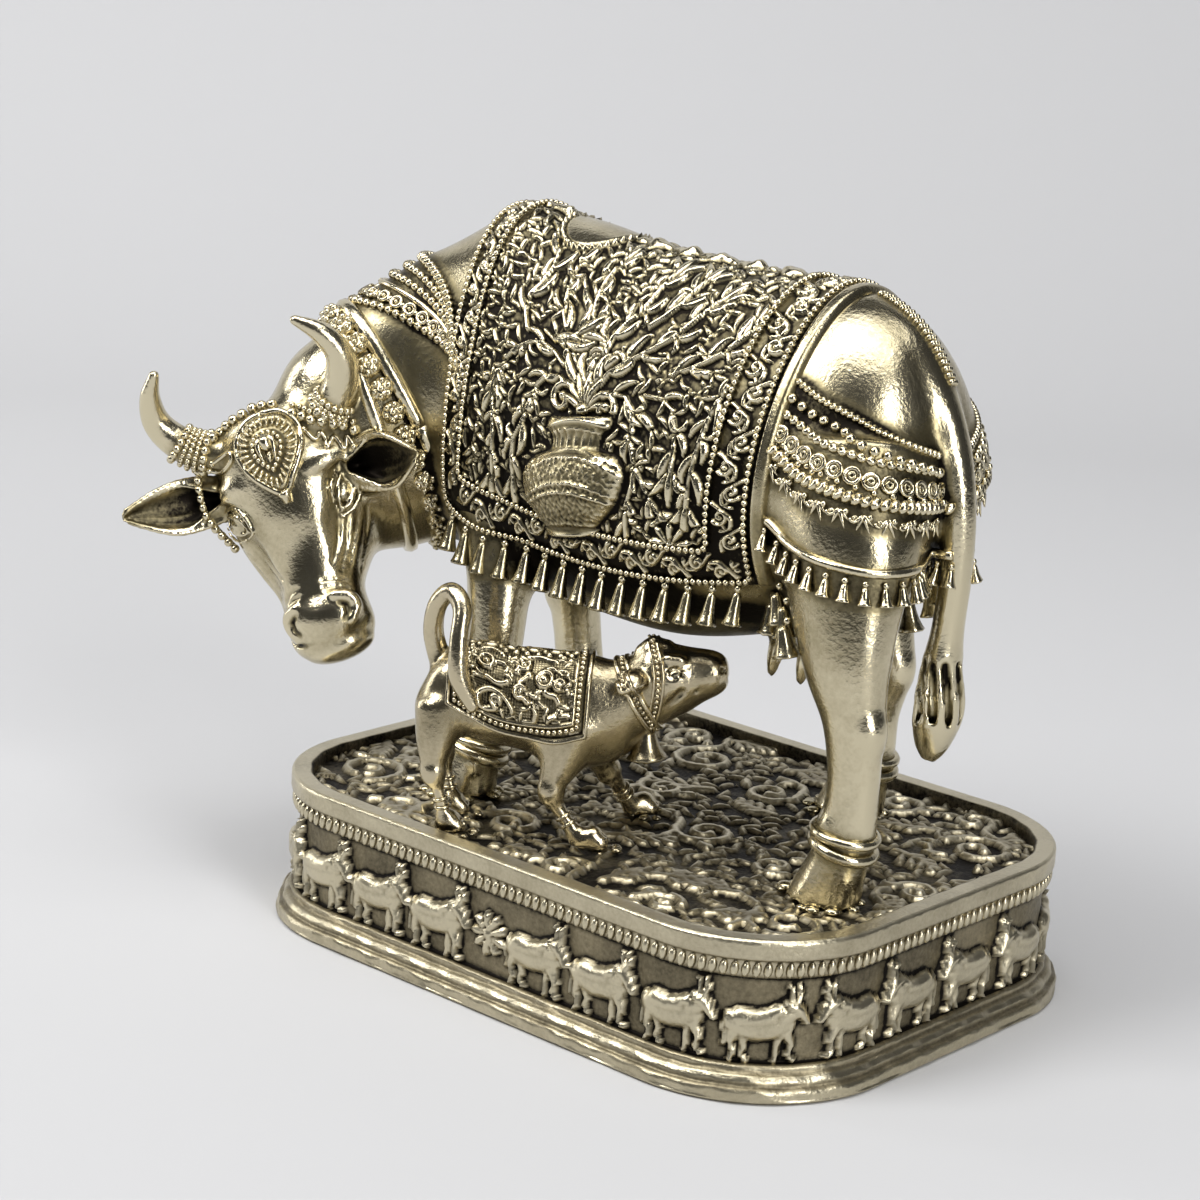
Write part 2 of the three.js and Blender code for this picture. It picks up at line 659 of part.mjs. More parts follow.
const CALF_TRUNK = [
  [-16.9, 0, 50, 3, 3.2],
  [-14.6, 0, 49, 5.4, 6],
  [-8, 0, 47, 6.6, 7.8],
  [-0.5, 0, 46.2, 6.8, 8.2],
  [6.5, 0, 45.2, 6.6, 9.2],
  [11.8, 0, 45.6, 5.8, 9],
  [15.8, 0, 46.6, 4.4, 6.4],
];
const CALF_NECK = [
  [9, 0, 46, 5, 8],
  [14, 0, 47.2, 4.8, 7],
  [18, 0, 49.3, 4.4, 6.2],
  [21, 0, 51.2, 3.8, 5],
];
const CALF_HEAD = [
  [16.4, 0, 51, 2.6, 4.4],
  [19, 0, 51.2, 4.4, 6.4],
  [23, 0, 52, 4.6, 5.8],
  [27, 0, 53.2, 3.2, 3.8],
  [30, 0, 53.8, 2.8, 2.8],
  [32, 0, 54, 1.6, 1.6],
];
const CALF_FOOT = FLOOR + FOOT_GAP;
const CALF_LEGS = [
  [
    [-14.5, -3.5, 46, 4, 4.4],
    [-14.8, -5, 39, 3, 3.4],
    [-14.8, -5.6, 34.5, 1.8, 2.1],
    [-13.2, -5.6, 29.5, 1.5, 1.6],
    [-12.4, -4.6, CALF_FOOT - 1, 2.2, 2.4],
  ],
  [
    [-14.5, 3.5, 46, 4, 4.4],
    [-15, 5, 39, 3, 3.4],
    [-15, 5.2, 34.5, 1.8, 2.1],
    [-13.6, 5, 29.5, 1.5, 1.6],
    [-13, 4.6, CALF_FOOT - 1, 2.4, 2.6],
  ],
  [
    [7, -3.5, 44, 4, 5],
    [6, -5, 38, 3, 3.6],
    [4.6, -5.8, 33, 2.1, 2.2],
    [7.4, -6.2, 28.6, 1.6, 1.6],
    [11.4, -6.6, CALF_FOOT - 1, 2.3, 2.8],
  ],
  [
    [8, 3.5, 44, 4, 5],
    [10, 5.5, 38, 3, 3.6],
    [12.5, 8, 33, 2.1, 2.2],
    [15, 10.6, 28.6, 1.7, 1.7],
    [18, 13, CALF_FOOT - 1, 2.3, 2.8],
  ],
];
const CALF_TAIL = [
  [-15, 0, 51, 1.9, 1.9],
  [-16.6, 0, 56.5, 1.7, 1.7],
  [-16, -0.6, 61.4, 1.6, 1.6],
  [-13.6, -2, 64, 1.6, 1.6],
  [-11.4, -4.4, 62, 1.6, 1.6],
  [-11.4, -6.6, 57, 1.6, 1.6],
  [-11, -7.4, 51.5, 1.7, 1.5],
  [-8.6, -7.4, 46.8, 1.2, 1.0],
];

function calfLimb(rows, options) {
  return limb(rows.map((row) => calfRow(...row)), calfAcross, options);
}

// The calf's saddle cloth: its lower hem dips towards the middle, with a raised edge.
const CALF_ALONG_HALF = [[0, 1], [0.05, 1], [0.065, 0], [0.28, 0]];
const CALF_SHARE_HALF = [[0, 1], [0.06, 1], [0.08, 0], [0.27, 0]];

function calfCloth() {
  const rows = CALF_TRUNK.map(([along, , z, wide, deep]) => ({ along, z, wide, deep }));
  const spot = (alongShare, share, rise) => {
    const along = THREE.MathUtils.lerp(CALF_CLOTH.rear, CALF_CLOTH.front, alongShare);
    const drop = 0.25 + 0.3 * Math.sin(Math.PI * alongShare) ** 2;
    const angle = THREE.MathUtils.lerp(Math.PI + drop, -drop, share);
    const [z, wide, deep] = ['z', 'wide', 'deep'].map((name) => between(rows, 'along', along, name));
    return calfSpot(along, (wide + rise) * Math.cos(angle), z + (deep + rise) * Math.sin(angle));
  };
  const grid = [mirrored(CALF_ALONG_HALF), mirrored(CALF_SHARE_HALF, [[0.5, 0]])];
  return clothSlab(...grid, spot, { rise: 0.6, hem: 0.5, sunk: 0.8 });
}

function makeCalf() {
  const ears = [-1, 1].map((side) => calfLimb([
    [18.6, side * 3.4, 53, 1.0, 1.4],
    [16.8, side * 5.6, 52.6, 0.9, 1.9],
    [14.8, side * 7.6, 51.2, 0.5, 0.8],
  ], { sides: 5, steps: 1.5 }));
  const bell = new THREE.CylinderGeometry(0.9, 2.1, 4.4, 6);
  bell.rotateX(Math.PI / 2);
  const hung = calfSpot(19, 0, 40.4);
  const ring = [[18.2, 0, 46.5, 0.9, 0.9], [19, 0, 41.6, 0.9, 0.9]];
  bell.translate(hung.x, hung.y, hung.z);
  const calf = joined([
    calfLimb(CALF_TRUNK, { sides: 10, steps: 1 }),
    calfLimb(CALF_NECK, { sides: 8, steps: 1 }),
    calfLimb(CALF_NECK, { sides: 8, steps: 1, from: 0.55, to: 0.68, grow: 0.9 }),
    calfLimb(CALF_HEAD, { sides: 7, steps: 1 }),
    ...CALF_LEGS.map((rows) => calfLimb(rows, { sides: 6, steps: 1 })),
    calfLimb(CALF_TAIL, { sides: 5, steps: 1.5 }),
    calfCloth(),
    ...ears,
    calfLimb(ring, { sides: 5, steps: 1 }),
    solidFrom(bell),
  ]);
  return cutBelow(calf, CALF_FOOT);
}

// The three castings.

function brass(color, roughness) {
  return new THREE.MeshStandardMaterial({ color, roughness, metalness: 1 });
}

function casting(name, solid, material) {
  const mesh = new THREE.Mesh(geometryFrom(solid), material);
  mesh.name = name;
  return mesh;
}

const group = new THREE.Group();
group.add(casting('plinth', makePlinth(), brass(0xa89a6a, 0.42)));
group.add(casting('cow', makeCow(), brass(0xc9bd8a, 0.34)));
group.add(casting('calf', makeCalf(), brass(0xc4b883, 0.36)));

export default group;
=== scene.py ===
# Brass cow and calf on a carved plinth. Lengths below are in millimetres and go into Blender in metres.
import math

import bpy
import numpy as np
import openvdb
from mathutils import Matrix


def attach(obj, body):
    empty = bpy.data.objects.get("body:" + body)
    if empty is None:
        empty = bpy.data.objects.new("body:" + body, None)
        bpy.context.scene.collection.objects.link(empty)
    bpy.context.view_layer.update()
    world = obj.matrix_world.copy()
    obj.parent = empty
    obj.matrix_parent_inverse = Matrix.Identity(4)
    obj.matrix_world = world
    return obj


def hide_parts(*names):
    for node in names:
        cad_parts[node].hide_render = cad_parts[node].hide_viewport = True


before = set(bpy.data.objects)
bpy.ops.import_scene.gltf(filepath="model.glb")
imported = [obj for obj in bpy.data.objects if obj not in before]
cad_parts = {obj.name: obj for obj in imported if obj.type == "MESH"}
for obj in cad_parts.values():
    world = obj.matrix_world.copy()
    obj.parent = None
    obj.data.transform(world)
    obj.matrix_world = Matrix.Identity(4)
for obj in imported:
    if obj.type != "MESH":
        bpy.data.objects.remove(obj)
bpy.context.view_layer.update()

MM = 0.001
BODY_CELL, HEAD_CELL, CALF_CELL = ((0.6, 0.39, 0.42))
NEAR_CLOTH_CELL, FAR_CLOTH_CELL, CALF_CLOTH_CELL = ((0.235, 0.42, 0.22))
rng = np.random.default_rng(7)

# Driving sizes, the same as the solids have.
LENGTH, WIDTH, HEIGHT, CORNER = 120.0, 88.8, 25.6, 23.5
# Levels of the solid floor and of the ground between its ornament, width of the rim, spread of the foot.
FLOOR, SUNK = 24.2, 23.6
RIM, FOOT_SPREAD = 3.4, 2.2
FRIEZE_BOTTOM, FRIEZE_TOP, FRIEZE_DEPTH = 5.4, 19.2, 1.6
# Middle of the cow across the plinth, level of its hoofs, and how far the cloth lies off the trunk.
MIDDLE_Y = 5.0
FOOT = FLOOR + 0.3
CLOTH_RISE = 1.0


# Numbers and curves.

def smooth(keys, values, place):
    """Cubic curve through values that are spaced unevenly along keys, the same as the solids use."""
    keys = np.asarray(keys, float)
    values = np.asarray(values, float)
    flat = values.reshape(len(keys), -1)
    place = np.clip(np.asarray(place, float), keys[0], keys[-1])
    i = np.clip(np.searchsorted(keys, place, side="right") - 1, 0, len(keys) - 2)
    before = np.maximum(np.arange(len(keys)) - 1, 0)
    after = np.minimum(np.arange(len(keys)) + 1, len(keys) - 1)
    slope = (flat[after] - flat[before]) / (keys[after] - keys[before])[:, None]
    span = keys[i + 1] - keys[i]
    t = ((place - keys[i]) / span)[..., None]
    rise = t * t * (3 - 2 * t)
    start = t * (1 - t) ** 2 * span[..., None] * slope[i]
    end = t * t * (t - 1) * span[..., None] * slope[i + 1]
    result = flat[i] * (1 - rise) + flat[i + 1] * rise + start + end
    return result.reshape(place.shape + values.shape[1:])


def unit(v):
    v = np.asarray(v, float)
    return v / np.linalg.norm(v, axis=-1, keepdims=True)


def step_between(low, high, x):
    """Rises smoothly from 0 at low to 1 at high."""
    t = np.clip((x - low) / (high - low), 0, 1)
    return t * t * (3 - 2 * t)


def aim(angle):
    """Unit step in a flat direction."""
    return np.stack([np.cos(angle), np.sin(angle)], -1)


def path(points, steps):
    """Smooth line through a few points, with an equal number of steps between each pair."""
    points = np.asarray(points, float)
    places = np.linspace(0, len(points) - 1, (len(points) - 1) * steps + 1)
    return smooth(np.arange(len(points)), points, places)


# Meshes.

def make_object(name, points, faces, material, wear=0.6):
    """Makes an object; a quad whose last corner comes twice is a triangle."""
    mesh = bpy.data.meshes.new(name)
    points = np.asarray(points, np.float32) * MM
    faces = np.asarray(faces, np.int32)
    if faces.shape[1] == 4 and (faces[:, 2] == faces[:, 3]).any():
        thin = faces[:, 2] == faces[:, 3]
        whole = faces[~thin]
        faces = np.vstack([whole[:, :3], whole[:, [0, 2, 3]], faces[thin][:, :3]])
    mesh.vertices.add(len(points))
    mesh.vertices.foreach_set("co", points.ravel())
    mesh.loops.add(faces.size)
    mesh.loops.foreach_set("vertex_index", faces.ravel())
    mesh.polygons.add(len(faces))
    mesh.polygons.foreach_set("loop_start", np.arange(0, faces.size, faces.shape[1], dtype=np.int32))
    mesh.polygons.foreach_set("use_smooth", np.full(len(faces), True))
    mesh.update(calc_edges=True)
    wear = np.broadcast_to(np.clip(wear, 0, 1), (len(points),))
    mesh.attributes.new("wear", "FLOAT", "POINT").data.foreach_set("value", wear.astype(np.float32))
    mesh.materials.append(material)
    obj = bpy.data.objects.new(name, mesh)
    bpy.context.scene.collection.objects.link(obj)
    return obj


class Parts:
    """Gathers many small closed meshes of quads into one."""

    def __init__(self):
        self.points, self.faces, self.wear, self.count = [], [], [], 0

    def add(self, points, faces, wear=0.7):
        points = np.asarray(points, float)
        self.points.append(points)
        self.faces.append(np.asarray(faces) + self.count)
        self.wear.append(np.broadcast_to(np.asarray(wear, float), (len(points),)))
        self.count += len(points)

    def make(self, name, material):
        faces = np.vstack([np.vstack([f[:, :3], f[:, [0, 2, 3]]]) for f in self.faces])
        faces = faces[(faces[:, 0] != faces[:, 2]) & (faces[:, 1] != faces[:, 2])]
        return make_object(name, np.vstack(self.points), faces, material, np.concatenate(self.wear))


def grid_faces(rows, columns, closed=False):
    """Quads over a grid of points that run row by row; closed joins the last column to the first."""
    r, c = np.meshgrid(np.arange(rows - 1), np.arange(columns if closed else columns - 1), indexing="ij")
    here, beside = r * columns + c, r * columns + (c + 1) % columns
    return np.stack([here, beside, beside + columns, here + columns], -1).reshape(-1, 4)


def fan(hub, first, second):
    """Triangles from a hub to pairs of points."""
    return np.stack([np.full(len(first), hub), first, second, second], -1)


def tube_points(stations, across, rings, sides, grow=0.0, power=2.0):
    """Rings of oval sections through stations: middle, half width along across and half width beside it."""
    stations = np.asarray(stations, float)
    keys = np.arange(len(stations))
    k = np.linspace(0, keys[-1], rings)
    row = smooth(keys, stations, k)
    ahead = smooth(keys, stations[:, :3], np.minimum(k + 0.05, keys[-1]))
    behind = smooth(keys, stations[:, :3], np.maximum(k - 0.05, 0))
    tangent = unit(ahead - behind)
    side = unit(across - (tangent @ across)[:, None] * tangent)
    up = np.cross(tangent, side)
    c, s = aim(2 * np.pi * (np.arange(sides) + 0.5) / sides).T
    stretch = (np.abs(c) ** power + np.abs(s) ** power) ** (-1 / power)
    wide = (row[:, 3] + grow)[:, None] * c * stretch
    deep = (row[:, 4] + grow)[:, None] * s * stretch
    return row[:, None, :3] + wide[..., None] * side[:, None] + deep[..., None] * up[:, None]


def closed_tube(rings):
    """Points and quads of a tube whose ends are closed by fans."""
    count, sides = rings.shape[:2]
    points = np.vstack([rings.reshape(-1, 3), rings[0].mean(0), rings[-1].mean(0)])
    i = np.arange(sides)
    j = (i + 1) % sides
    last = (count - 1) * sides
    ends = [fan(len(points) - 2, j, i), fan(len(points) - 1, last + i, last + j)]
    return points, np.vstack([grid_faces(count, sides, closed=True), *ends])


# Body shapes are joined as distance fields on a grid of cells.

class Field:
    def __init__(self, low, high, cell):
        self.cell = cell
        self.origin = np.floor(np.asarray(low, float) / cell).astype(int)
        self.shape = tuple(np.ceil(np.asarray(high, float) / cell).astype(int) - self.origin + 1)
        self.band = 9
        self.values = np.full(self.shape, self.band * cell, np.float32)
        self.dark_lines = []

    def solid(self, points, faces):
        transform = openvdb.createLinearTransform(voxelSize=self.cell)
        grid = openvdb.FloatGrid.createLevelSetFromPolygons(
            np.asarray(points, np.float32), quads=np.asarray(faces, np.uint32),
            transform=transform, halfWidth=float(self.band))
        values = np.full(self.shape, self.band * self.cell, np.float32)
        grid.copyToArray(values, ijk=tuple(int(v) for v in self.origin))
        return values

    def join(self, values, blend):
        a = self.values
        h = np.maximum(blend - np.abs(a - values), 0)
        self.values = np.minimum(a, values) - h * h / (4 * blend)

    def join_tube(self, stations, across, blend, grow=0.0, power=2.0):
        rings, sides = ((150, 110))
        self.join(self.solid(*closed_tube(tube_points(stations, across, rings, sides, grow, power))), blend)

    def window(self, low, high):
        lo = np.clip(np.floor(np.asarray(low) / self.cell).astype(int) - self.origin, 0, self.shape)
        hi = np.clip(np.ceil(np.asarray(high) / self.cell).astype(int) - self.origin + 1, 0, self.shape)
        place = tuple(slice(a, b) for a, b in zip(lo, hi))
        axes = [(np.arange(a, b) + o) * self.cell for a, b, o in zip(lo, hi, self.origin)]
        return place, np.stack(np.meshgrid(*axes, indexing="ij"), -1)

    def line_distance(self, points, radii, place_points):
        """Distance to a chain of tapered round rods."""
        best = np.full(place_points.shape[:-1], 1e3, np.float32)
        for a, b, ra, rb in zip(points[:-1], points[1:], radii[:-1], radii[1:]):
            d = b - a
            t = np.clip(((place_points - a) @ d) / max(d @ d, 1e-9), 0, 1)
            gap = np.linalg.norm(place_points - a - t[..., None] * d, axis=-1) - (ra + (rb - ra) * t)
            best = np.minimum(best, gap)
        return best

    def rod(self, points, radii, blend, cut=False):
        """Adds a raised ridge along a line of points, or cuts a groove."""
        points = np.asarray(points, float)
        radii = np.broadcast_to(np.asarray(radii, float), (len(points),))
        margin = radii.max() + blend + 2 * self.cell
        place, spots = self.window(points.min(0) - margin, points.max(0) + margin)
        self.merge(place, self.line_distance(points, radii, spots), blend, cut)

    def ball(self, centre, radii, axes, blend, cut=False):
        """Adds or cuts an ellipsoid whose radii lie along the three axes."""
        radii = np.asarray(radii, float)
        margin = radii.max() + blend + 2 * self.cell
        place, spots = self.window(centre - margin, centre + margin)
        local = (spots - centre) @ np.asarray(axes, float).T
        near = np.linalg.norm(local / radii, axis=-1)
        slope = np.linalg.norm(local / radii ** 2, axis=-1)
        self.merge(place, near * (near - 1) / np.maximum(slope, 1e-6), blend, cut)

    def darken(self, points, radius, depth):
        """Notes a line of points along which the colour is darkened: in grooves and hollows of the carving,
        and as painted shade on the body.
        """
        self.dark_lines.append((np.asarray(points, float), radius, depth))

    def darkening_at(self, places):
        """How much darker places on the surface are coloured along the noted lines, painted shade included.
        """
        total = np.zeros(len(places))
        for points, radius, depth in self.dark_lines:
            near = (np.abs(places - points.mean(0)) < np.ptp(points, axis=0) / 2 + 2 * radius).all(1)
            gap = self.line_distance(points, np.zeros(len(points)), places[near])
            total[near] = np.maximum(total[near], depth * step_between(1.4 * radius, 0.5 * radius, gap))
        return total

    def merge(self, place, gap, blend, cut):
        a = self.values[place]
        if cut:
            h = np.maximum(blend - np.abs(a + gap), 0)
            self.values[place] = np.maximum(a, -gap) + h * h / (4 * blend)
        else:
            h = np.maximum(blend - np.abs(a - gap), 0)
            self.values[place] = np.minimum(a, gap) - h * h / (4 * blend)

    def distance(self, places):
        return sampled(self.values, np.asarray(places) / self.cell - self.origin)

    def normal(self, places):
        steps = np.eye(3) * self.cell
        return unit(np.stack([self.distance(places + s) - self.distance(places - s) for s in steps], -1))

    def land(self, places, ways):
        """Moves places along ways until they reach the surface."""
        ways = unit(ways)
        for _ in range(30):
            places = places + 0.9 * self.distance(places)[..., None] * ways
        return places

    def cut_below(self, level):
        z = (np.arange(self.shape[2]) + self.origin[2]) * self.cell
        self.values = np.maximum(self.values, (level - z)[None, None].astype(np.float32))

    def surface(self, hollow_reach):
        """Points, quads and how far each point stands out of its surroundings."""
        grid = openvdb.FloatGrid(float(self.band * self.cell))
        grid.copyFromArray(self.values, ijk=tuple(int(v) for v in self.origin))
        grid.transform = openvdb.createLinearTransform(voxelSize=self.cell)
        points, quads = grid.convertToQuads(0.0)
        soft = blurred(self.values, hollow_reach / self.cell)
        standing = sampled(soft, points / self.cell - self.origin)
        return points, quads[:, ::-1], standing


def blurred(values, reach):
    """Gaussian blur along every axis."""
    half = max(1, int(2.5 * reach))
    weights = np.exp(-0.5 * (np.arange(-half, half + 1) / reach) ** 2)
    weights /= weights.sum()
    for axis in range(values.ndim):
        pad = [(half, half) if a == axis else (0, 0) for a in range(values.ndim)]
        wide = np.pad(values, pad, mode="edge")
        total = np.zeros_like(values)
        for k, weight in enumerate(weights):
            total += weight * np.take(wide, range(k, k + values.shape[axis]), axis=axis)
        values = total
    return values


def sampled(values, places):
    """Value of a grid at places between its cells."""
    places = np.clip(places, 0, np.array(values.shape) - 1.001)
    low = places.astype(int)
    part = places - low
    result = 0
    for corner in np.ndindex(*(2,) * values.ndim):
        weight = np.prod([part[..., a] if bit else 1 - part[..., a] for a, bit in enumerate(corner)], axis=0)
        result = result + weight * values[tuple(low[..., a] + bit for a, bit in enumerate(corner))]
    return result


# Relief is drawn on a flat canvas of heights and then laid over a surface.

class Canvas:
    def __init__(self, width, height, dots=9):
        self.dots = dots
        self.relief = np.zeros((int(width * dots) + 1, int(height * dots) + 1), np.float32)

    def stroke(self, points, radii, height, shape="round"):
        """Draws a tapered line that is round, flat on top, grooved, or sunk into what lies there."""
        points = np.asarray(points, float)
        radii = np.broadcast_to(np.asarray(radii, float), (len(points),))
        heights = np.broadcast_to(np.asarray(height, float), (len(points),))
        for i in range(len(points) - 1):
            self.rod(points[i], points[i + 1], radii[i], radii[i + 1], heights[i], heights[i + 1], shape)

    def rod(self, a, b, ra, rb, ha, hb, shape):
        reach = max(ra, rb) + 1 / self.dots
        lo = np.floor((np.minimum(a, b) - reach) * self.dots).astype(int)
        hi = np.ceil((np.maximum(a, b) + reach) * self.dots).astype(int) + 1
        lo = np.maximum(lo, 0)
        hi = np.minimum(hi, self.relief.shape)
        if (hi <= lo).any():
            return
        x = (np.arange(lo[0], hi[0]) / self.dots)[:, None]
        y = (np.arange(lo[1], hi[1]) / self.dots)[None]
        d = b - a
        t = np.clip(((x - a[0]) * d[0] + (y - a[1]) * d[1]) / max(d @ d, 1e-9), 0, 1)
        gap = np.hypot(x - a[0] - t * d[0], y - a[1] - t * d[1]) / np.maximum(ra + (rb - ra) * t, 1e-3)
        high = ha + (hb - ha) * t
        window = self.relief[lo[0]:hi[0], lo[1]:hi[1]]
        if shape == "sunk":
            window *= 1 - high * step_between(1.0, 0.8, gap)
            return
        if shape == "round":
            value = np.sqrt(np.clip(1 - gap * gap, 0, 1))
        elif shape == "flat":
            value = step_between(1.0, 0.72, gap)
        else:
            value = np.sqrt(np.clip(1 - gap * gap, 0, 1)) * (0.82 + 0.18 * step_between(0.0, 0.35, gap))
        np.maximum(window, value * high, out=window)

    def dot(self, x, y, radius, height, shape="round"):
        self.rod(np.array([x, y]), np.array([x, y]) + 1e-4, radius, radius, height, height, shape)

    def spiral(self, x, y, radius, start, turns, thick, height, shape="round"):
        """Draws a scroll that winds in to its middle, and ends there in a dot."""
        share = np.linspace(0, 1, int(12 * abs(turns)) + 4)
        reach = radius * (1 - 0.82 * share)
        points = [x, y] + reach[:, None] * aim(start + 2 * np.pi * turns * share)
        self.stroke(points, thick * (1 - 0.35 * share), height, shape)
        self.dot(*points[-1], thick * 1.25, height, shape)

    def petal(self, x, y, angle, length, width, height, shape="round"):
        points = [x, y] + length * np.outer([0, 0.35, 0.7, 1.0], aim(angle))
        self.stroke(points, width * np.array([0.3, 0.85, 1.0, 0.15]), height, shape)

    def flower(self, x, y, petals, turn, ring, length, width, height, shape="grooved"):
        """Draws petals that start on a ring round the middle."""
        for angle in 2 * math.pi * np.arange(petals) / petals + turn:
            foot = [x, y] + ring * aim(angle)
            self.petal(*foot, angle, length, width, height, shape)

    def grid(self):
        """Places of the canvas's dots, as a column and a row."""
        columns, rows = self.relief.shape
        return (np.arange(columns) / self.dots)[:, None], (np.arange(rows) / self.dots)[None]

    def height_at(self, x, y):
        return sampled(self.relief, np.stack([x, y], -1) * self.dots)

    def softened(self, reach):
        return blurred(self.relief, reach * self.dots)

    def wear_at(self, x, y, reach, base):
        """Near 1 on the tops of the relief and near 0 in the hollows between."""
        high = self.height_at(x, y)
        around = sampled(self.softened(reach), np.stack([x, y], -1) * self.dots)
        return np.clip(base + 1.2 * (high - around) + 0.25 * np.minimum(high, 1.2), 0, 1)


# Brass. Its colour attribute is near 1 on rubbed high parts and near 0 in the darkened hollows; on the cow's
# body it also holds painted shade beside the ornaments and under the trunk.

def brass(name, bright, middle, dark, gloss, pits):
    material = bpy.data.materials.new(name)
    material.use_nodes = True
    nodes, links = material.node_tree.nodes, material.node_tree.links
    shader = nodes["Principled BSDF"]
    shader.inputs["Metallic"].default_value = 1.0

    def add(kind, result, values, sources, **settings):
        """Adds a node with its values, links it to earlier results and gives its own result."""
        node = nodes.new(kind)
        for key, value in settings.items():
            setattr(node, key, value)
        for key, value in values.items():
            node.inputs[key].default_value = value
        for key, source in sources.items():
            links.new(source, node.inputs[key])
        return node.outputs[result]

    def blend(first, share, second):
        return add("ShaderNodeMath", "Value", {1: share}, {0: first, 2: second}, operation="MULTIPLY_ADD")

    place = add("ShaderNodeTexCoord", "Object", {}, {})
    wear = add("ShaderNodeAttribute", "Fac", {}, {}, attribute_name="wear")
    large = {"Scale": 90.0, "Detail": 5.0, "Roughness": 0.6}
    small = {"Scale": 1400.0, "Detail": 3.0, "Roughness": 0.6}
    cloudy, fine = (add("ShaderNodeTexNoise", "Fac", values, {"Vector": place}) for values in (large, small))
    clouded = blend(fine, 0.25, blend(cloudy, 0.5, wear))
    even = add("ShaderNodeMapRange", "Result", {"From Min": 0.35, "From Max": 1.35}, {"Value": clouded})

    ramp = nodes.new("ShaderNodeValToRGB")
    links.new(even, ramp.inputs["Fac"])
    stops = ramp.color_ramp.elements
    stops[0].position, stops[0].color = 0.16, (*dark, 1)
    stops[1].position, stops[1].color = 0.80, (*bright, 1)
    stops.new(0.45).color = (*middle, 1)
    links.new(ramp.outputs["Color"], shader.inputs["Base Color"])

    dullness = {"From Min": 0.1, "From Max": 0.7, "To Min": gloss + 0.3, "To Max": gloss}
    links.new(add("ShaderNodeMapRange", "Result", dullness, {"Value": even}), shader.inputs["Roughness"])
    uneven = blend(cloudy, 2.5, fine)
    bump = add("ShaderNodeBump", "Normal", {"Strength": pits, "Distance": 0.0002}, {"Height": uneven})
    links.new(bump, shader.inputs["Normal"])
    return material


COW_BRASS = brass(
    "cow brass", bright=(0.68, 0.61, 0.43), middle=(0.30, 0.255, 0.145), dark=(0.011, 0.009, 0.007),
    gloss=0.18, pits=0.35)
CALF_BRASS = brass(
    "calf brass", bright=(0.57, 0.50, 0.345), middle=(0.21, 0.175, 0.10), dark=(0.011, 0.009, 0.006),
    gloss=0.2, pits=0.35)
PLINTH_BRASS = brass(
    "plinth brass", bright=(0.61, 0.55, 0.395), middle=(0.28, 0.24, 0.155), dark=(0.014, 0.012, 0.010),
    gloss=0.31, pits=0.5)


# Plinth.

def outline(distance, inset):
    """Points and outward directions on the plinth's outline, by the distance from the near side's middle."""
    straight_x, straight_y = LENGTH - 2 * CORNER, WIDTH - 2 * CORNER
    arc = math.pi / 2 * CORNER
    legs = [straight_x / 2, arc, straight_y, arc, straight_x, arc, straight_y, arc, straight_x / 2]
    ends = np.cumsum([0] + legs)
    distance = np.mod(distance, ends[-1])
    leg = np.clip(np.searchsorted(ends, distance, side="right") - 1, 0, len(legs) - 1)
    walked = distance - ends[leg]
    turned = np.where(leg % 2 == 1, walked / CORNER, 0.0)
    heading = math.pi / 2 * ((leg + 1) // 2 - (leg % 2)) + turned
    out = np.stack([np.sin(heading), -np.cos(heading)], -1)
    corners = np.array([[1, -1], [1, 1], [-1, 1], [-1, -1]]) * [straight_x / 2, straight_y / 2]
    on_arc = corners[np.clip(leg // 2, 0, 3)] + CORNER * out
    starts = np.array([[0, -WIDTH / 2], [LENGTH / 2, -straight_y / 2], [straight_x / 2, WIDTH / 2],
                       [-LENGTH / 2, straight_y / 2], [-straight_x / 2, -WIDTH / 2]])
    on_side = starts[np.clip(leg // 2, 0, 4)] + walked[..., None] * aim(heading)
    points = np.where((leg % 2 == 1)[..., None], on_arc, on_side)
    return points - inset * out, out


OUTLINE = 2 * (LENGTH + WIDTH - 4 * CORNER) + 2 * math.pi * CORNER

# The frieze's cows are drawn at one size and then stretched upwards from their hooves.
HOOF_LINE, COW_STRETCH = 5.9, 1.12


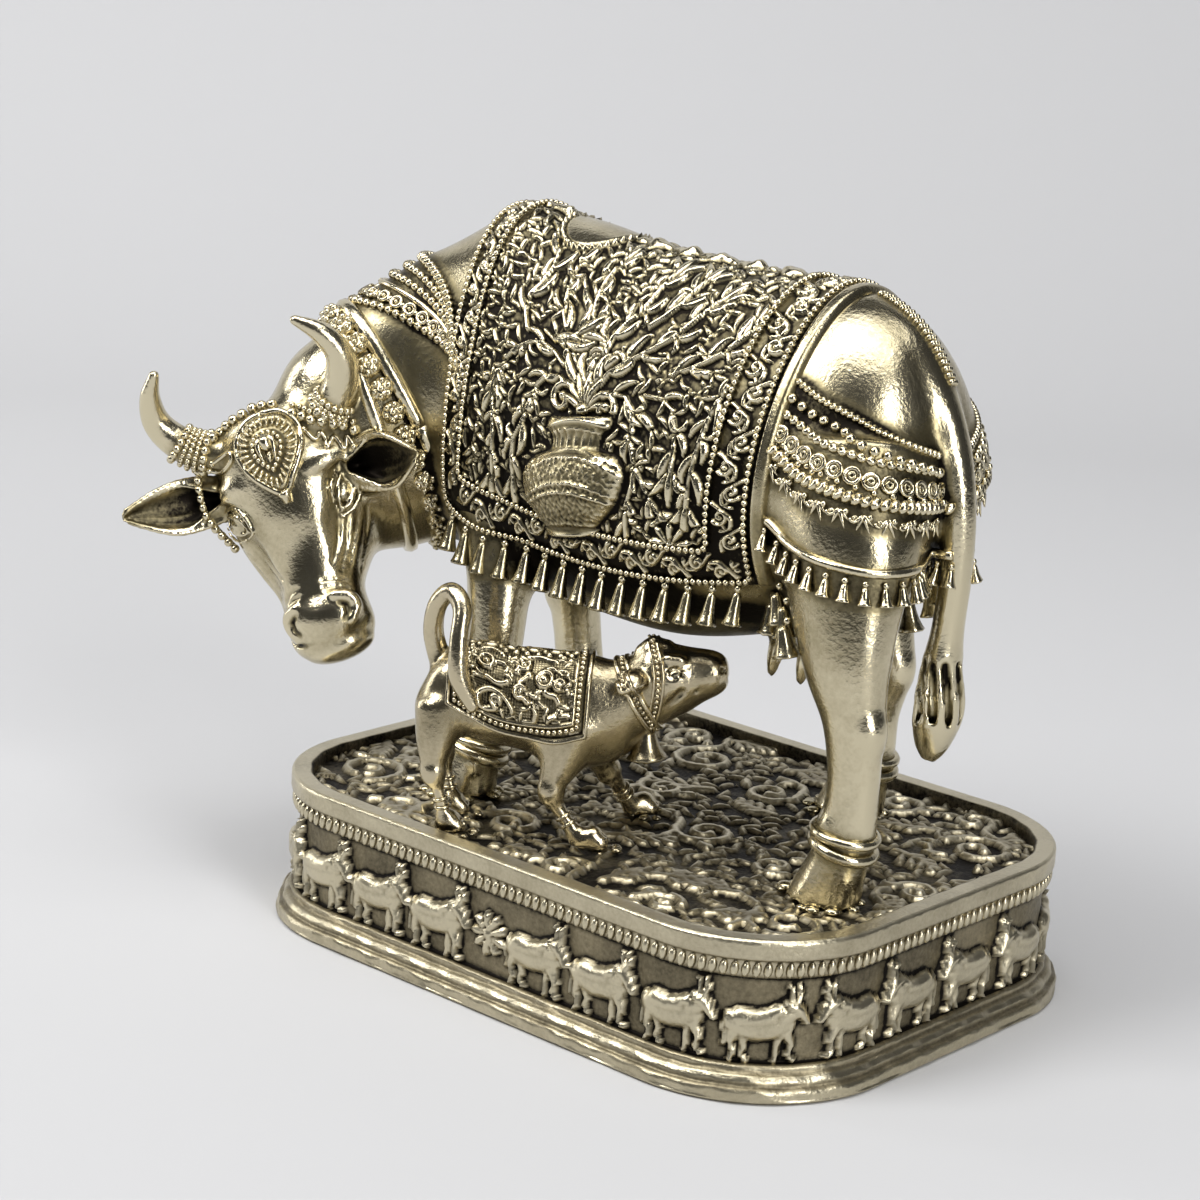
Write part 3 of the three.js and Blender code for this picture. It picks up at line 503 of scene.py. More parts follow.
def draw_frieze_cow(canvas, x, facing):
    """A walking cow of the frieze, seen from its side; facing is 1 for along the outline."""
    def line(points, radii, height):
        points = (np.asarray(points, float) - [0, HOOF_LINE]) * [facing, COW_STRETCH] + [x, HOOF_LINE]
        canvas.stroke(points, radii, 1.3 * height)

    # Trunk, back, hump, shoulder, head, two horns, ear and dewlap.
    trunk = path([[-4.2, 11.2], [-1.6, 10.8], [1.4, 11.0], [3.4, 11.6]], 3)
    line(trunk, [2.1, 2.3, 2.4, 2.5, 2.5, 2.4, 2.4, 2.4, 2.3, 2.2], 1.3)
    line([[-3.5, 12.0], [-1.0, 11.9], [1.4, 12.3]], [1.9, 1.7, 1.7], 1.35)
    line([[1.9, 13.1], [2.7, 13.4]], [1.2, 1.1], 1.35)
    line([[3.4, 12.4], [5.2, 13.4]], [2.0, 1.4], 1.35)
    line([[5.0, 13.9], [5.7, 13.4], [7.0, 11.7]], [1.2, 1.15, 0.6], 1.5)
    line(path([[5.4, 14.6], [5.9, 15.8], [5.5, 16.9]], 2), [0.5, 0.45, 0.4, 0.35, 0.3], 1.3)
    line(path([[4.7, 14.6], [4.6, 15.9], [4.1, 16.8]], 2), [0.5, 0.45, 0.4, 0.35, 0.3], 1.1)
    line([[4.6, 13.9], [3.4, 14.6]], [0.65, 0.35], 1.6)
    line([[4.6, 11.6], [4.3, 10.2]], [0.9, 0.4], 1.1)
    legs = [
        [[-4.4, 10.4], [-4.9, 8.4], [-4.4, 7.2], [-4.9, 5.9]],
        [[-3.4, 9.8], [-2.7, 8.0], [-3.2, 6.9], [-2.4, 5.9]],
        [[3.2, 10.4], [2.4, 8.2], [2.5, 7.0], [2.2, 5.9]],
        [[3.8, 10.2], [4.7, 8.4], [4.2, 7.0], [5.2, 6.2]],
    ]
    for n, leg in enumerate(legs):
        line(path(leg, 2), [1.25, 0.85, 0.6, 0.5, 0.45, 0.42, 0.55], 1.2 if n % 3 == 0 else 0.85)
    tail = path([[-5.6, 12.6], [-6.3, 10.8], [-6.0, 8.8], [-6.2, 7.9]], 2)
    line(tail, [0.45, 0.4, 0.35, 0.35, 0.4, 0.5, 0.35], 0.9)


# Middle of each frieze figure, as a distance along the outline; loops add those on the hidden sides.
COWS_FACING_ON = [-52.4, -38.6, -24.8, -11.0, 10.8, 24.8, 39.6, 54.4]
COWS_FACING_BACK = [70.6, 85.2, 100.2, 115.6]
# Cows on the hidden sides: where they begin and how far before the outline's end they stop.
HIDDEN_START, HIDDEN_STOP, COW_SPACING = 131.0, 62, 14.6


def draw_frieze():
    canvas = Canvas(OUTLINE, HEIGHT)
    far = OUTLINE / 2
    for x in COWS_FACING_ON:
        for lap in (0, OUTLINE):
            draw_frieze_cow(canvas, x % OUTLINE - lap, 1)
    for x in COWS_FACING_BACK:
        draw_frieze_cow(canvas, x, -1)
    for x in np.arange(HIDDEN_START, OUTLINE - HIDDEN_STOP, COW_SPACING):
        if abs(x - far) > COW_SPACING / 2:
            draw_frieze_cow(canvas, x, 1)
    for x in (0.6, far, OUTLINE + 0.6):
        canvas.flower(x, 12.4, 9, 0.35, 0.8, 3.0, 0.85, 1.3)
        canvas.dot(x, 12.4, 1.0, 1.5)
    canvas.relief[-1] = canvas.relief[0]
    return canvas


# The side's profile, from the foot up: how far in from the outline, and the height.
SIDE_PROFILE = [
    (-1.6, 0.0), (-FOOT_SPREAD, 0.5), (-FOOT_SPREAD, 1.9), (-1.9, 2.5), (-1.35, 2.7), (-1.3, 3.0),
    (-1.2, 3.5), (-0.75, 4.1), (-0.2, 4.35), (0.0, 4.6), (0.15, 5.2), (0.5, 5.45), (FRIEZE_DEPTH, 5.6),
    (FRIEZE_DEPTH, FRIEZE_TOP - 0.1), (1.1, FRIEZE_TOP + 0.1), (0.95, FRIEZE_TOP + 0.4), (0.95, 21.9),
    (0.7, 22.3), (0.1, 22.4), (0.0, 22.7), (0.0, 25.0), (0.12, 25.35), (0.5, 25.58),
]


def profile_rows(profile, cell):
    """Splits a profile into rows no further apart than a cell."""
    profile = np.asarray(profile, float)
    rows = [profile[:1]]
    for a, b in zip(profile[:-1], profile[1:]):
        count = max(1, int(np.ceil(np.linalg.norm(b - a) / cell)))
        rows.append(a + (b - a) * (np.arange(1, count + 1) / count)[:, None])
    return np.vstack(rows)


# Slow waves of the hand-worked foot moulding: depth, waves round the plinth and lean with height.
HAND_WAVES = ((0.2, 9, 0), (0.16, 23, 0.4), (0.1, 61, 1.1))
# Levels of the side where dark gathers, and how far it reaches.
SIDE_HOLLOWS = ((2.62, 0.3), (3.1, 0.2), (4.5, 0.35), (5.55, 0.35), (FRIEZE_TOP + 0.1, 0.5), (22.25, 0.3))


def make_plinth_side(canvas):
    """The moulded side with its frieze, closed by a fan underneath."""
    rows = profile_rows(SIDE_PROFILE, 0.34)
    columns = int(OUTLINE / (0.55))
    x, z = np.broadcast_arrays(np.arange(columns) * OUTLINE / columns, rows[:, 1:])
    within = (FRIEZE_BOTTOM + 0.1, FRIEZE_BOTTOM + 0.5), (FRIEZE_TOP, FRIEZE_TOP - 0.5)
    inside = step_between(*within[0], z) * step_between(*within[1], z)
    high = canvas.height_at(x, z) * inside
    flat_xy, out = outline(x, 0)
    rough = 0.03 * np.sin(x * 1.7 + 2 * np.sin(z * 0.8)) * np.sin(z * 2.3 + x * 0.31) * (z > 0.6)
    around = 2 * np.pi * x / OUTLINE
    hand = sum(depth * np.sin(waves * around + lean * z) for depth, waves, lean in HAND_WAVES) - 0.2
    hand = hand * step_between(0.2, 1.0, z) * step_between(FRIEZE_BOTTOM + 0.2, FRIEZE_BOTTOM - 1.0, z)
    xy = flat_xy - (rows[:, :1] - high - rough - hand)[..., None] * out
    points = np.concatenate([xy, (z + 0.7 * hand)[..., None]], -1).reshape(-1, 3)
    wear = np.where(inside > 0, canvas.wear_at(x, z, 0.45, 0.42) - 0.06 * (high < 0.05), 0.68)
    for level, reach in SIDE_HOLLOWS:
        wear = wear - 0.34 * np.exp(-((z - level) / reach) ** 2)
    wear = wear + 0.22 * np.exp(-((z - HEIGHT + 0.2) / 0.3) ** 2)
    i = np.arange(columns)
    faces = np.vstack([grid_faces(len(rows), columns, closed=True), fan(len(points), (i + 1) % columns, i)])
    return np.vstack([points, [[0, 0, 0]]]), faces, np.append(wear.ravel(), 0.3)


# The upright oval beads under the rim: spacing, half sizes, inset and height of their middles.
ROPE_SPACING, ROPE_BEAD = 1.76, np.array([0.74, 0.72, 1.32])
ROPE_INSET, ROPE_LEVEL = 0.95, 20.6


def make_rope():
    parts = Parts()
    ball_points, ball_faces = bead_shape(8, 6)
    count = int(round(OUTLINE / ROPE_SPACING))
    for n in range(count):
        xy, out = outline(np.array(OUTLINE * n / count), ROPE_INSET)
        turn = np.array([[-out[1], out[0], 0], [out[0], out[1], 0], [0.12, 0, 1.0]])
        points = (ball_points * ROPE_BEAD) @ turn + [*xy, ROPE_LEVEL]
        parts.add(points, ball_faces, 0.35 + 0.5 * (ball_points[:, 1] > 0.2))
    return parts.make("rope_row", PLINTH_BRASS)


def bead_shape(around, down):
    """A ball of quads with its poles on Z."""
    rows = np.linspace(0, np.pi, down + 1)[:, None]
    turn = 2 * np.pi * np.arange(around) / around
    wide, high = np.sin(rows), np.cos(rows)
    grid = np.stack(np.broadcast_arrays(wide * np.cos(turn), wide * np.sin(turn), high), -1)
    return grid.reshape(-1, 3), grid_faces(down + 1, around, closed=True)[:, ::-1]


# Scrolls of the sunk floor: middle x and y, radius, angle of the outer end in degrees, turns.
FLOOR_SCROLLS = [
    (-24, 35.5, 3.6, 200, -1.2), (-13.6, 26.4, 6.2, 150, 1.4), (5.9, 20.7, 5.0, 30, -1.3),
    (37.5, 36.5, 3.6, 20, 1.2), (46.5, 25, 6.4, 170, -1.4), (47.5, -26.5, 6.6, 200, 1.4),
    (-12, -26, 5.2, 160, -1.4), (7.5, -35, 3.6, 20, 1.2), (-47, -25, 6.4, -20, 1.4),
    (-46.5, 26, 6.4, 20, -1.4), (24, 34, 4.4, -30, 1.2), (29, -34.5, 3.8, 160, -1.2),
    (-30, -34.5, 3.8, 20, 1.2), (12, -4, 5.4, 210, 1.4), (-30, 4, 5.4, 30, 1.4),
    (52, 0, 4.2, 180, -1.3), (-52, 0, 4.2, 0, -1.3), (30, -8, 4.2, 10, -1.3), (-8, 8, 4.2, 200, 1.3),
]
# Leaves of the floor: foot x and y, direction in degrees, length.
FLOOR_LEAVES = [
    (-36, 33, 200, 11), (-18, 38, 10, 10), (0, 33, 20, 11), (12, 36, -150, 9), (36, 28, 200, 11),
    (46, 36, -60, 8), (38, 14, -20, 11), (22, 20, -10, 12), (14, 12, 170, 10), (-2, 14, 200, 12),
    (-24, 16, 160, 12), (-40, 14, 120, 9), (-56, 14, 60, 8), (-56, -12, -60, 9), (-38, -14, 190, 11),
    (-26, -20, 60, 11), (-22, -36, 175, 10), (-6, -36, 10, 9), (2, -18, 30, 12), (16, -34, 70, 10),
    (20, -26, 20, 12), (36, -32, 30, 9), (40, -16, 60, 11), (34, -22, 190, 12), (54, -12, 100, 8),
    (55, 12, -100, 8), (26, 4, 60, 10), (0, -6, 190, 11), (-18, -4, 160, 10), (-44, -8, 60, 9),
]


FLOOR_BUDS = ((17.3, -28), (22, -22.5), (-30, 24), (2, 39), (-50, -12), (36, 4))


def draw_floor():
    canvas = Canvas(LENGTH, WIDTH)
    middle = np.array([LENGTH, WIDTH]) / 2
    for x, y, radius, start, turns in FLOOR_SCROLLS:
        hub, start, hand = middle + [x, y], math.radians(start), math.copysign(1, turns)
        canvas.spiral(*hub, radius, start, turns, 0.85, 1.0, "flat")
        edge, way = hub + radius * aim(start), start - hand * math.pi / 2
        stem = path([edge, edge + 5 * aim(way), edge + 10 * aim(way + 0.5)], 4)
        canvas.stroke(stem, np.linspace(0.95, 0.5, len(stem)), 1.0, "flat")
        for angle in (start + 0.3, start + 1.5, start + 2.7):
            canvas.petal(*(hub + radius * aim(angle)), angle + 0.9 * hand, radius * 0.75, 1.0, 1.0, "flat")
    for x, y, way, length in FLOOR_LEAVES:
        foot, way = middle + [x, y], math.radians(way)
        rib = path([foot, foot + 0.5 * length * aim(way + 0.2), foot + length * aim(way)], 4)
        canvas.stroke(rib, np.linspace(1.2, 0.35, len(rib)), 1.0, "grooved")
        for k in range(4):
            at = foot + length * (0.15 + 0.2 * k) * aim(way + 0.1)
            for side in (-1, 1):
                lean = way + side * (0.75 - 0.08 * k)
                canvas.petal(*at, lean, length * (0.42 - 0.05 * k), 0.95, 1.0, "grooved")
    for bud in FLOOR_BUDS:
        canvas.dot(*(middle + bud), 1.9, 1.0, "flat")
        canvas.petal(*(middle + bud), -0.9, 3.2, 1.1, 1.0, "flat")
    fill_gaps(canvas, (3, 3), (LENGTH - 3, WIDTH - 3), 5.4, 0.8, 0.14)
    return canvas


# The rim's profile, from its outer edge down to the floor: inset and height.
RIM_PROFILE = [
    (0.5, HEIGHT - 0.02), (0.9, HEIGHT), (RIM - 0.3, HEIGHT), (RIM, HEIGHT - 0.1), (RIM + 0.15, HEIGHT - 0.4),
    (RIM + 0.3, SUNK - 0.4),
]
RIM_COLUMNS = 560


def make_plinth_top(canvas):
    """The rim, and the sunk floor as a grid of cells with the canvas on it."""
    rim = profile_rows(RIM_PROFILE, 0.7)
    distance = np.arange(RIM_COLUMNS) * OUTLINE / RIM_COLUMNS
    rows = []
    for inset, z in rim:
        xy, _ = outline(distance, inset)
        wobble = 0.08 * np.sin(distance * 0.9) * (inset > RIM - 0.4)
        rows.append(np.column_stack([xy * (1 - wobble[:, None] / 60), np.full(RIM_COLUMNS, z)]))
    points = np.vstack(rows)
    wear = np.repeat(np.where(rim[:, 0] < RIM - 0.1, 0.74, 0.2), RIM_COLUMNS)

    cell = 0.43
    half = np.array([LENGTH, WIDTH]) / 2
    x, y = np.meshgrid(*(np.arange(2 - side, side - 2, cell) for side in half), indexing="ij")
    u, v = x + half[0], y + half[1]
    high = canvas.height_at(u, v)
    ripple = 0.05 * np.sin(x * 1.1 + np.sin(y)) * np.sin(y * 1.3)
    floor = np.stack([x, y, SUNK - 0.15 + high + ripple], -1).reshape(-1, 3)
    over = np.maximum(np.abs(floor[:, :2]) - (half - CORNER), 0)
    inside = np.hypot(*over.T) < CORNER - RIM + 0.1
    cells = grid_faces(*x.shape)
    used, cells = np.unique(cells[inside[cells].all(1)], return_inverse=True)
    crowded = sampled(blurred(canvas.softened(0.6), 8), np.stack([u, v], -1) * canvas.dots)
    floor_wear = np.where(high < 0.1, 0.16, canvas.wear_at(u, v, 0.6, 0.25) * (0.9 + 0.1 * crowded))
    faces = [grid_faces(len(rim), RIM_COLUMNS, closed=True), cells.reshape(-1, 4) + len(points)]
    return np.vstack([points, floor[used]]), np.vstack(faces), np.append(wear, floor_wear.ravel()[used])


# Cow. Trunk sections: x, top, bottom, half width.
TRUNK = np.array([
    (-56, 96, 78, 8), (-53, 108, 68, 13.5), (-47, 118, 60, 18), (-40, 120.5, 57, 20.5),
    (-30, 118.6, 55.5, 22), (-16, 117, 54.5, 23), (0, 116.3, 54.5, 23.5), (14, 116.2, 57.5, 23),
    (26, 116.6, 62, 21.2), (34, 115.2, 65, 19.4), (41, 110.5, 69, 16.4), (45.5, 103.5, 75, 12.2),
    (48, 96, 82, 7),
])
TRUNK_TAPER = 0.14


def trunk_row(x):
    """Top, bottom and half width of the trunk."""
    return np.moveaxis(smooth(TRUNK[:, 0], TRUNK[:, 1:], x), -1, 0)


def trunk_spot(x, angle, rise=0.0):
    top, bottom, half = trunk_row(x)
    s = np.sin(angle)
    wide = (half + rise) * (1 - TRUNK_TAPER * s)
    tall = (top - bottom) / 2 + rise
    y, z = MIDDLE_Y + wide * np.cos(angle), (top + bottom) / 2 + tall * s
    return np.stack(np.broadcast_arrays(x, y, z), -1)


def trunk_angle(x, z, near):
    """Angle round the trunk at which its near or far side has a height."""
    top, bottom, _ = trunk_row(x)
    s = np.clip((z - (top + bottom) / 2) / ((top - bottom) / 2), -1, 1)
    return np.where(near, np.pi - np.arcsin(s), np.arcsin(s))


def hem_angles(x):
    """Angles round the trunk of the cloth's near and far hem, which hang lowest near the middle."""
    hem = 67.6 + 0.0035 * (x + 6) ** 2
    return trunk_angle(x, hem, True), trunk_angle(x, hem, False)


def cloth_ends(share):
    """Front and rear edge of the cloth, which bow outwards on the back."""
    bow = np.sin(np.pi * share)
    return -41 - 4.5 * bow ** 4, 29 + 1.5 * bow ** 2


def cloth_spot(along, share, rise):
    """A spot on the cloth: along runs from front to rear, share from the near hem over to the far hem."""
    front, rear = cloth_ends(share)
    x = front * (1 - along) + rear * along
    near, far = hem_angles(x)
    return trunk_spot(x, near * (1 - share) + far * share, rise)


# Legs: centre x, y, z, half width along Y, half depth along X, from inside the trunk down to the hoof.
LEGS = {
    "near_hind": [
        (38, -4, 92, 11, 10), (41, -8.5, 81, 10, 10.6), (42.4, -11.5, 72, 7.6, 9.6),
        (45, -13.5, 62.5, 5.8, 7.2), (47.4, -14, 54, 4.2, 5.0), (48.3, -14, 45, 3.6, 4.2),
        (48, -14, 37, 4.0, 4.4), (46.8, -14, 31.5, 4.2, 4.6), (44, -14, FOOT - 2, 5.4, 6.2),
    ],
    "far_hind": [
        (34, 13, 92, 11, 10), (29, 17.5, 81, 10, 10.6), (23.5, 21.5, 72, 7.6, 9.6),
        (22, 23.5, 62.5, 5.8, 7.2), (25.2, 24, 52, 4.2, 5.0), (24, 24, 43, 3.6, 4.2),
        (23.4, 24, 36, 4.0, 4.4), (22.4, 24, 31, 4.2, 4.6), (20, 24, FOOT - 2, 5.4, 6.2),
    ],
    "near_front": [
        (-36, -5, 80, 9, 11), (-32, -9.5, 70, 7.6, 8.6), (-28.5, -14, 61, 5.2, 5.6),
        (-26.6, -16.5, 50, 4.2, 4.5), (-26, -18, 41, 3.7, 3.8), (-26.2, -19, 34, 3.9, 4.1),
        (-27, -19.8, 30, 4.0, 4.3), (-29, -20.5, FOOT - 2, 5.2, 5.8),
    ],
    "far_front": [
        (-37, 13, 80, 9, 11), (-40, 17, 70, 7.6, 8.6), (-42.5, 20.5, 61, 5.2, 5.6),
        (-44.6, 23, 50, 4.2, 4.5), (-44, 24, 41, 3.8, 4.0), (-43, 24, 34, 3.9, 4.1),
        (-43.2, 24, 30, 4.0, 4.3), (-45, 24, FOOT - 2, 5.2, 5.8),
    ],
}
ALONG_Y = np.array([0.0, 1, 0])

# Neck and tail: centre x, y, z, half width across and half depth.
NECK = [
    (-38, 4, 90, 15, 27), (-48, 1, 88.5, 14, 25.5), (-55, -7, 84.5, 12.6, 22.8),
    (-59.5, -15, 80, 11.4, 20.6), (-64.5, -22.5, 77.6, 9.4, 16.6), (-67, -28, 76, 6.5, 9),
]
NECK_ACROSS = np.array([0.75, -0.66, 0])

TAIL = [
    (30, 5, 113, 3, 2.5), (38, 5, 109, 3, 2.6), (43.8, 5, 102.5, 2.8, 2.6), (47.8, 5, 95, 2.6, 2.4),
    (50.2, 5, 86, 2.2, 2.1), (50.8, 5, 76, 2.1, 1.9), (50.2, 5, 66, 2.3, 1.9), (49.8, 5, 60, 3.2, 2.6),
    (49.8, 5, 53, 4.2, 3.2), (49.2, 5, 47.5, 2.6, 2.2), (48.8, 5, 44.5, 0.6, 0.6),
]

# Head: its own frame has left along the brow, down the face to the muzzle, and out of the forehead.
POLL = np.array([-64.6, -37.2, 82.4])
HEAD_LEFT = unit([0.774, 0.463, 0.431])
HEAD_DOWN = np.array([0.451, 0.075, -0.89])
HEAD_DOWN = unit(HEAD_DOWN - (HEAD_DOWN @ HEAD_LEFT) * HEAD_LEFT)
HEAD_OUT = np.cross(HEAD_DOWN, HEAD_LEFT)
HEAD_AXES = np.array([HEAD_LEFT, HEAD_DOWN, HEAD_OUT])


def head_spot(left, down, out):
    return POLL + np.stack(np.broadcast_arrays(left, down, out), -1).astype(float) @ HEAD_AXES


# Stations of the skull down the face: down, out, half width and half depth.
SKULL = [
    (-3.5, -9, 5.4, 5), (0, -8.8, 9.4, 8.2), (7, -9.4, 11.4, 10), (14, -10.4, 12.0, 11),
    (20, -10.4, 11.2, 10.6), (25, -8.6, 9.2, 8.8), (29, -6.8, 7.0, 7), (33.5, -5.8, 7.2, 6.6),
    (37.6, -5.8, 7.6, 6), (40.4, -6.2, 5.0, 4),
]


def horn(side):
    rows = [(6.5, 2.5, -6, 3.3), (11.5, 0.6, -5, 3.3), (15.6, -2.8, -3.6, 3.0), (17.6, -7.2, -1.6, 2.5),
            (16.4, -11.4, 0.8, 1.8), (13.6, -14.6, 2.6, 0.9)]
    return [(*head_spot(side * left, down, out), r, r) for left, down, out, r in rows]


def join_cow(field):
    """Trunk, neck and legs, melted together."""
    angle = 2 * np.pi * np.arange(180) / 180
    x = np.linspace(TRUNK[0, 0], TRUNK[-1, 0], 180)
    field.join(field.solid(*closed_tube(trunk_spot(x[:, None], angle[None]))), 1)
    field.join_tube(NECK, NECK_ACROSS, 7)
    for stations in LEGS.values():
        field.join_tube(stations, ALONG_Y, 5)


# Small ornaments that sit on a surface.

def thread(points, pitch):
    """Places at an even pitch along a line of points."""
    points = np.asarray(points, float)
    walked = np.concatenate([[0], np.cumsum(np.linalg.norm(np.diff(points, axis=0), axis=1))])
    stops = np.linspace(0, walked[-1], max(1, int(round(walked[-1] / pitch))) + 1)
    return np.stack([np.interp(stops, walked, points[:, axis]) for axis in range(points.shape[1])], -1)


def spots_along(places, normals, pitch):
    """Places and normals at an even pitch along a line."""
    rows = thread(np.hstack([places, normals]), pitch)
    return list(zip(rows[:, :3], unit(rows[:, 3:])))


BALL_POINTS, BALL_FACES = bead_shape(8, 6)
SMALL_BALL_POINTS, SMALL_BALL_FACES = bead_shape(6, 4)


def add_beads(parts, places, radius, wear=0.8, small=False):
    points, faces = (SMALL_BALL_POINTS, SMALL_BALL_FACES) if small else (BALL_POINTS, BALL_FACES)
    for place in places:
        parts.add(place + radius * points, faces, wear)


def add_cord(parts, points, radii, wear=0.75, sides=7, flatten=1.0, normals=(0.31, -0.62, 0.72)):
    """A round or flattened cord along a line of points."""
    points = np.asarray(points, float)
    radii = np.broadcast_to(np.asarray(radii, float), (len(points),))
    tangent = unit(np.gradient(points, axis=0))
    side = unit(np.cross(normals, tangent))
    up = np.cross(tangent, side)
    c, s = aim(2 * np.pi * np.arange(sides) / sides).T
    wide = (radii[:, None] * c)[..., None] * side[:, None]
    deep = (flatten * radii[:, None] * s)[..., None] * up[:, None]
    parts.add(*closed_tube(points[:, None] + wide + deep), wear)


def add_rope(parts, points, normals, radius, pitch, wear=0.75):
    """A twisted rope, as a row of slanting oval lays."""
    points, normals = map(np.array, zip(*spots_along(points, normals, pitch)))
    tangent = unit(np.gradient(points, axis=0))
    side = unit(np.cross(normals, tangent))
    for p, t, s, n in zip(points, tangent, side, np.cross(tangent, side)):
        slant = unit(0.55 * t + s)
        axes = np.array([slant * radius * 1.25, np.cross(n, slant) * pitch * 0.58, n * radius])
        parts.add(p + BALL_POINTS @ axes, BALL_FACES, wear)


def add_ring(parts, centre, normal, radius, thick, wear=0.75, around=12):
    first = unit(np.cross(normal, [0.3, 0.2, 0.9]))
    out = aim(2 * np.pi * np.arange(around) / around) @ np.array([first, np.cross(normal, first)])
    sides = 5
    c, s = aim(2 * np.pi * np.arange(sides) / sides).T[..., None]
    rings = centre + radius * out[:, None] + thick * (c * out[:, None] + s * np.asarray(normal))
    faces = grid_faces(around + 1, sides, closed=True) % (around * sides)
    parts.add(rings.reshape(-1, 3), faces, wear)


# Outline of a bell: share of its length and of its radius.
BELL = np.array([
    (0, 0.28), (0.12, 0.5), (0.3, 0.55), (0.62, 0.72), (0.86, 0.95), (0.95, 1.08), (1.0, 1.0),
    (0.97, 0.6),
])


def add_bell(parts, top, down, length, radius, wear=0.75, pleated=False):
    """A small bell or tassel that flares towards its lower end."""
    down = unit(down)
    first = unit(np.cross(down, [0.9, 0.1, 0.3]))
    sides = 16 if pleated else 9
    out = aim(2 * np.pi * np.arange(sides) / sides) @ np.array([first, np.cross(down, first)])
    hollow = pleated * (np.arange(sides) % 2)
    wide = (radius * BELL[:, 1])[:, None, None] * (1 - 0.13 * hollow)[None, :, None]
    rings = top + down * (length * BELL[:, 0])[:, None, None] + wide * out
    # The fan that closes the bell's mouth is darkest in its middle: painted shade standing in for the hollow
    # inside the bell.
    parts.add(*closed_tube(rings), np.append(wear - 0.3 * np.tile(hollow, len(BELL)), [wear, 0.2]))


def add_scroll(parts, centre, normal, along, radius, turns, thick, wear=0.75):
    """A wire scroll that winds in to its middle on the surface."""
    side = unit(np.cross(normal, along))
    share = np.linspace(0, 1, int(9 * abs(turns)) + 5)
    reach = radius * (1 - 0.8 * share)
    axes = np.array([np.cross(side, normal), side])
    points = centre + reach[:, None] * aim(2 * np.pi * turns * share) @ axes
    add_cord(parts, points, thick * (1 - 0.3 * share), wear, sides=6, normals=normal)
    add_beads(parts, points[-1:], thick * 1.2, wear, small=True)


def add_spike(parts, foot, way, length, radius, wear=0.75):
    share = np.array([0, 0.25, 0.55, 0.8, 1.0])
    points = foot + length * share[:, None] * unit(way)
    add_cord(parts, points, radius * np.array([0.7, 1.0, 0.75, 0.4, 0.08]), wear, sides=6)


# Cow's body and head.

def split_hoof(field, foot, facing):
    """Cleft, coronet line and two dewclaws of a hoof."""
    front, back = foot + 6.5 * facing, foot - 5.2 * facing + [0, 0, 5.2]
    field.rod([front + [0, 0, 0.5], front - 1.5 * facing + [0, 0, 4.5]], 0.55, 0.5, cut=True)
    for side in (-1, 1):
        claw = back + side * 1.6 * np.array([-facing[1], facing[0], 0])
        field.rod([claw + [0, 0, 1.0], claw - 0.5 * facing - [0, 0, 0.6]], [0.9, 0.6], 0.5)
    x, y, z = foot
    line = [(x - 6, y - 4, z + 6.6), (x - 2, y - 6, z + 6.2), (x + 3, y - 5, z + 6.2)]
    field.rod(line, 0.3, 0.4, cut=True)


HOOFS = {"near_hind": (44, -14), "far_hind": (20, 24), "near_front": (-29, -20.5), "far_front": (-45, 24)}
HOOF_FACING = unit([-1, 0.15, 0])
# Knees and hocks: place, half sizes and how softly they join.
JOINTS = [
    ((-29.5, -16.5, 49), (2.6, 3.6, 3.8), 1.6), ((-47.5, 23, 49), (2.6, 3.6, 3.8), 1.6),
    ((50.5, -14, 53), (2.4, 2.6, 3.4), 1.8), ((28, 24, 51), (2.4, 2.6, 3.4), 1.8),
]
UDDER = [(24, 4, 66, 8, 7), (25, 4, 60, 7, 6), (25, 4, 57, 4, 4)]
TEATS = ((22, -1), (28, -1), (22, 8), (28, 8))
TAIL_FLUTES = 9
# Stations of one flute: middle of the tail, half sizes of the tuft, how far the flute has turned, and height.
FLUTE_STATIONS = ((49.8, 2.6, 3.4, 0, 61), (49.8, 3.3, 4.2, 0.3, 53.5), (49.0, 1.4, 1.6, 0.6, 46.5))


def flute_tail(field):
    """Twisted grooves down the tuft of the tail."""
    for n in range(TAIL_FLUTES):
        turn = 2 * math.pi * n / TAIL_FLUTES
        line = [(x + wide * math.cos(turn + lean), 5 + deep * math.sin(turn + lean), z)
                for x, wide, deep, lean, z in FLUTE_STATIONS]
        field.rod(line, [0.5, 0.8, 0.4], 0.4, cut=True)
        field.darken(path(line, 4), 0.8, 0.85)


def crease_chest(field):
    """Folds of skin between the neck and the shoulder."""
    for n in range(5):
        top = np.array([-58 + 2.2 * n, -22 + 3.2 * n, 66 - 2.0 * n])
        field.rod([top, top + [2.5, 0.5, -3.4], top + [6.5, 2.5, -5]], 0.4, 1.0, cut=True)


def make_body_field():
    field = Field((-68, -38, 24), (55, 34, 125), BODY_CELL)
    join_cow(field)
    field.join_tube(TAIL, ALONG_Y, 1.6, 0.6)
    field.join_tube(UDDER, ALONG_Y, 3)
    for x, y in TEATS:
        field.rod([(x, y, 61), (x - 0.8, y, 56), (x - 1.2, y, 53.5)], [1.4, 1.3, 0.8], 1)
    for name, (x, y) in HOOFS.items():
        ankle = np.array(LEGS[name][-3][:3])
        field.ball(ankle + [-1.5, 0, 0], (3.4, 3.8, 3.2), np.eye(3), 1.5)
        split_hoof(field, np.array([x, y, FOOT]), HOOF_FACING)
    for place, half, blend in JOINTS:
        field.ball(np.array(place, float), half, np.eye(3), blend)
    flute_tail(field)
    crease_chest(field)
    # Painted shade: a dark band along each flank below the cloth's hem, and a broad dark patch under the
    # belly.
    under = np.linspace(-40, 28, 35)
    for near in (True, False):
        field.darken(trunk_spot(under, trunk_angle(under, 64.5, near)), 4.2, 0.5)
    field.darken(trunk_spot(under, -np.pi / 2), 15, 0.3)
    field.cut_below(FOOT)
    return field


# How far the body still reaches under the cloth's front and rear edges.
CLOTH_OVERLAP = 1.6
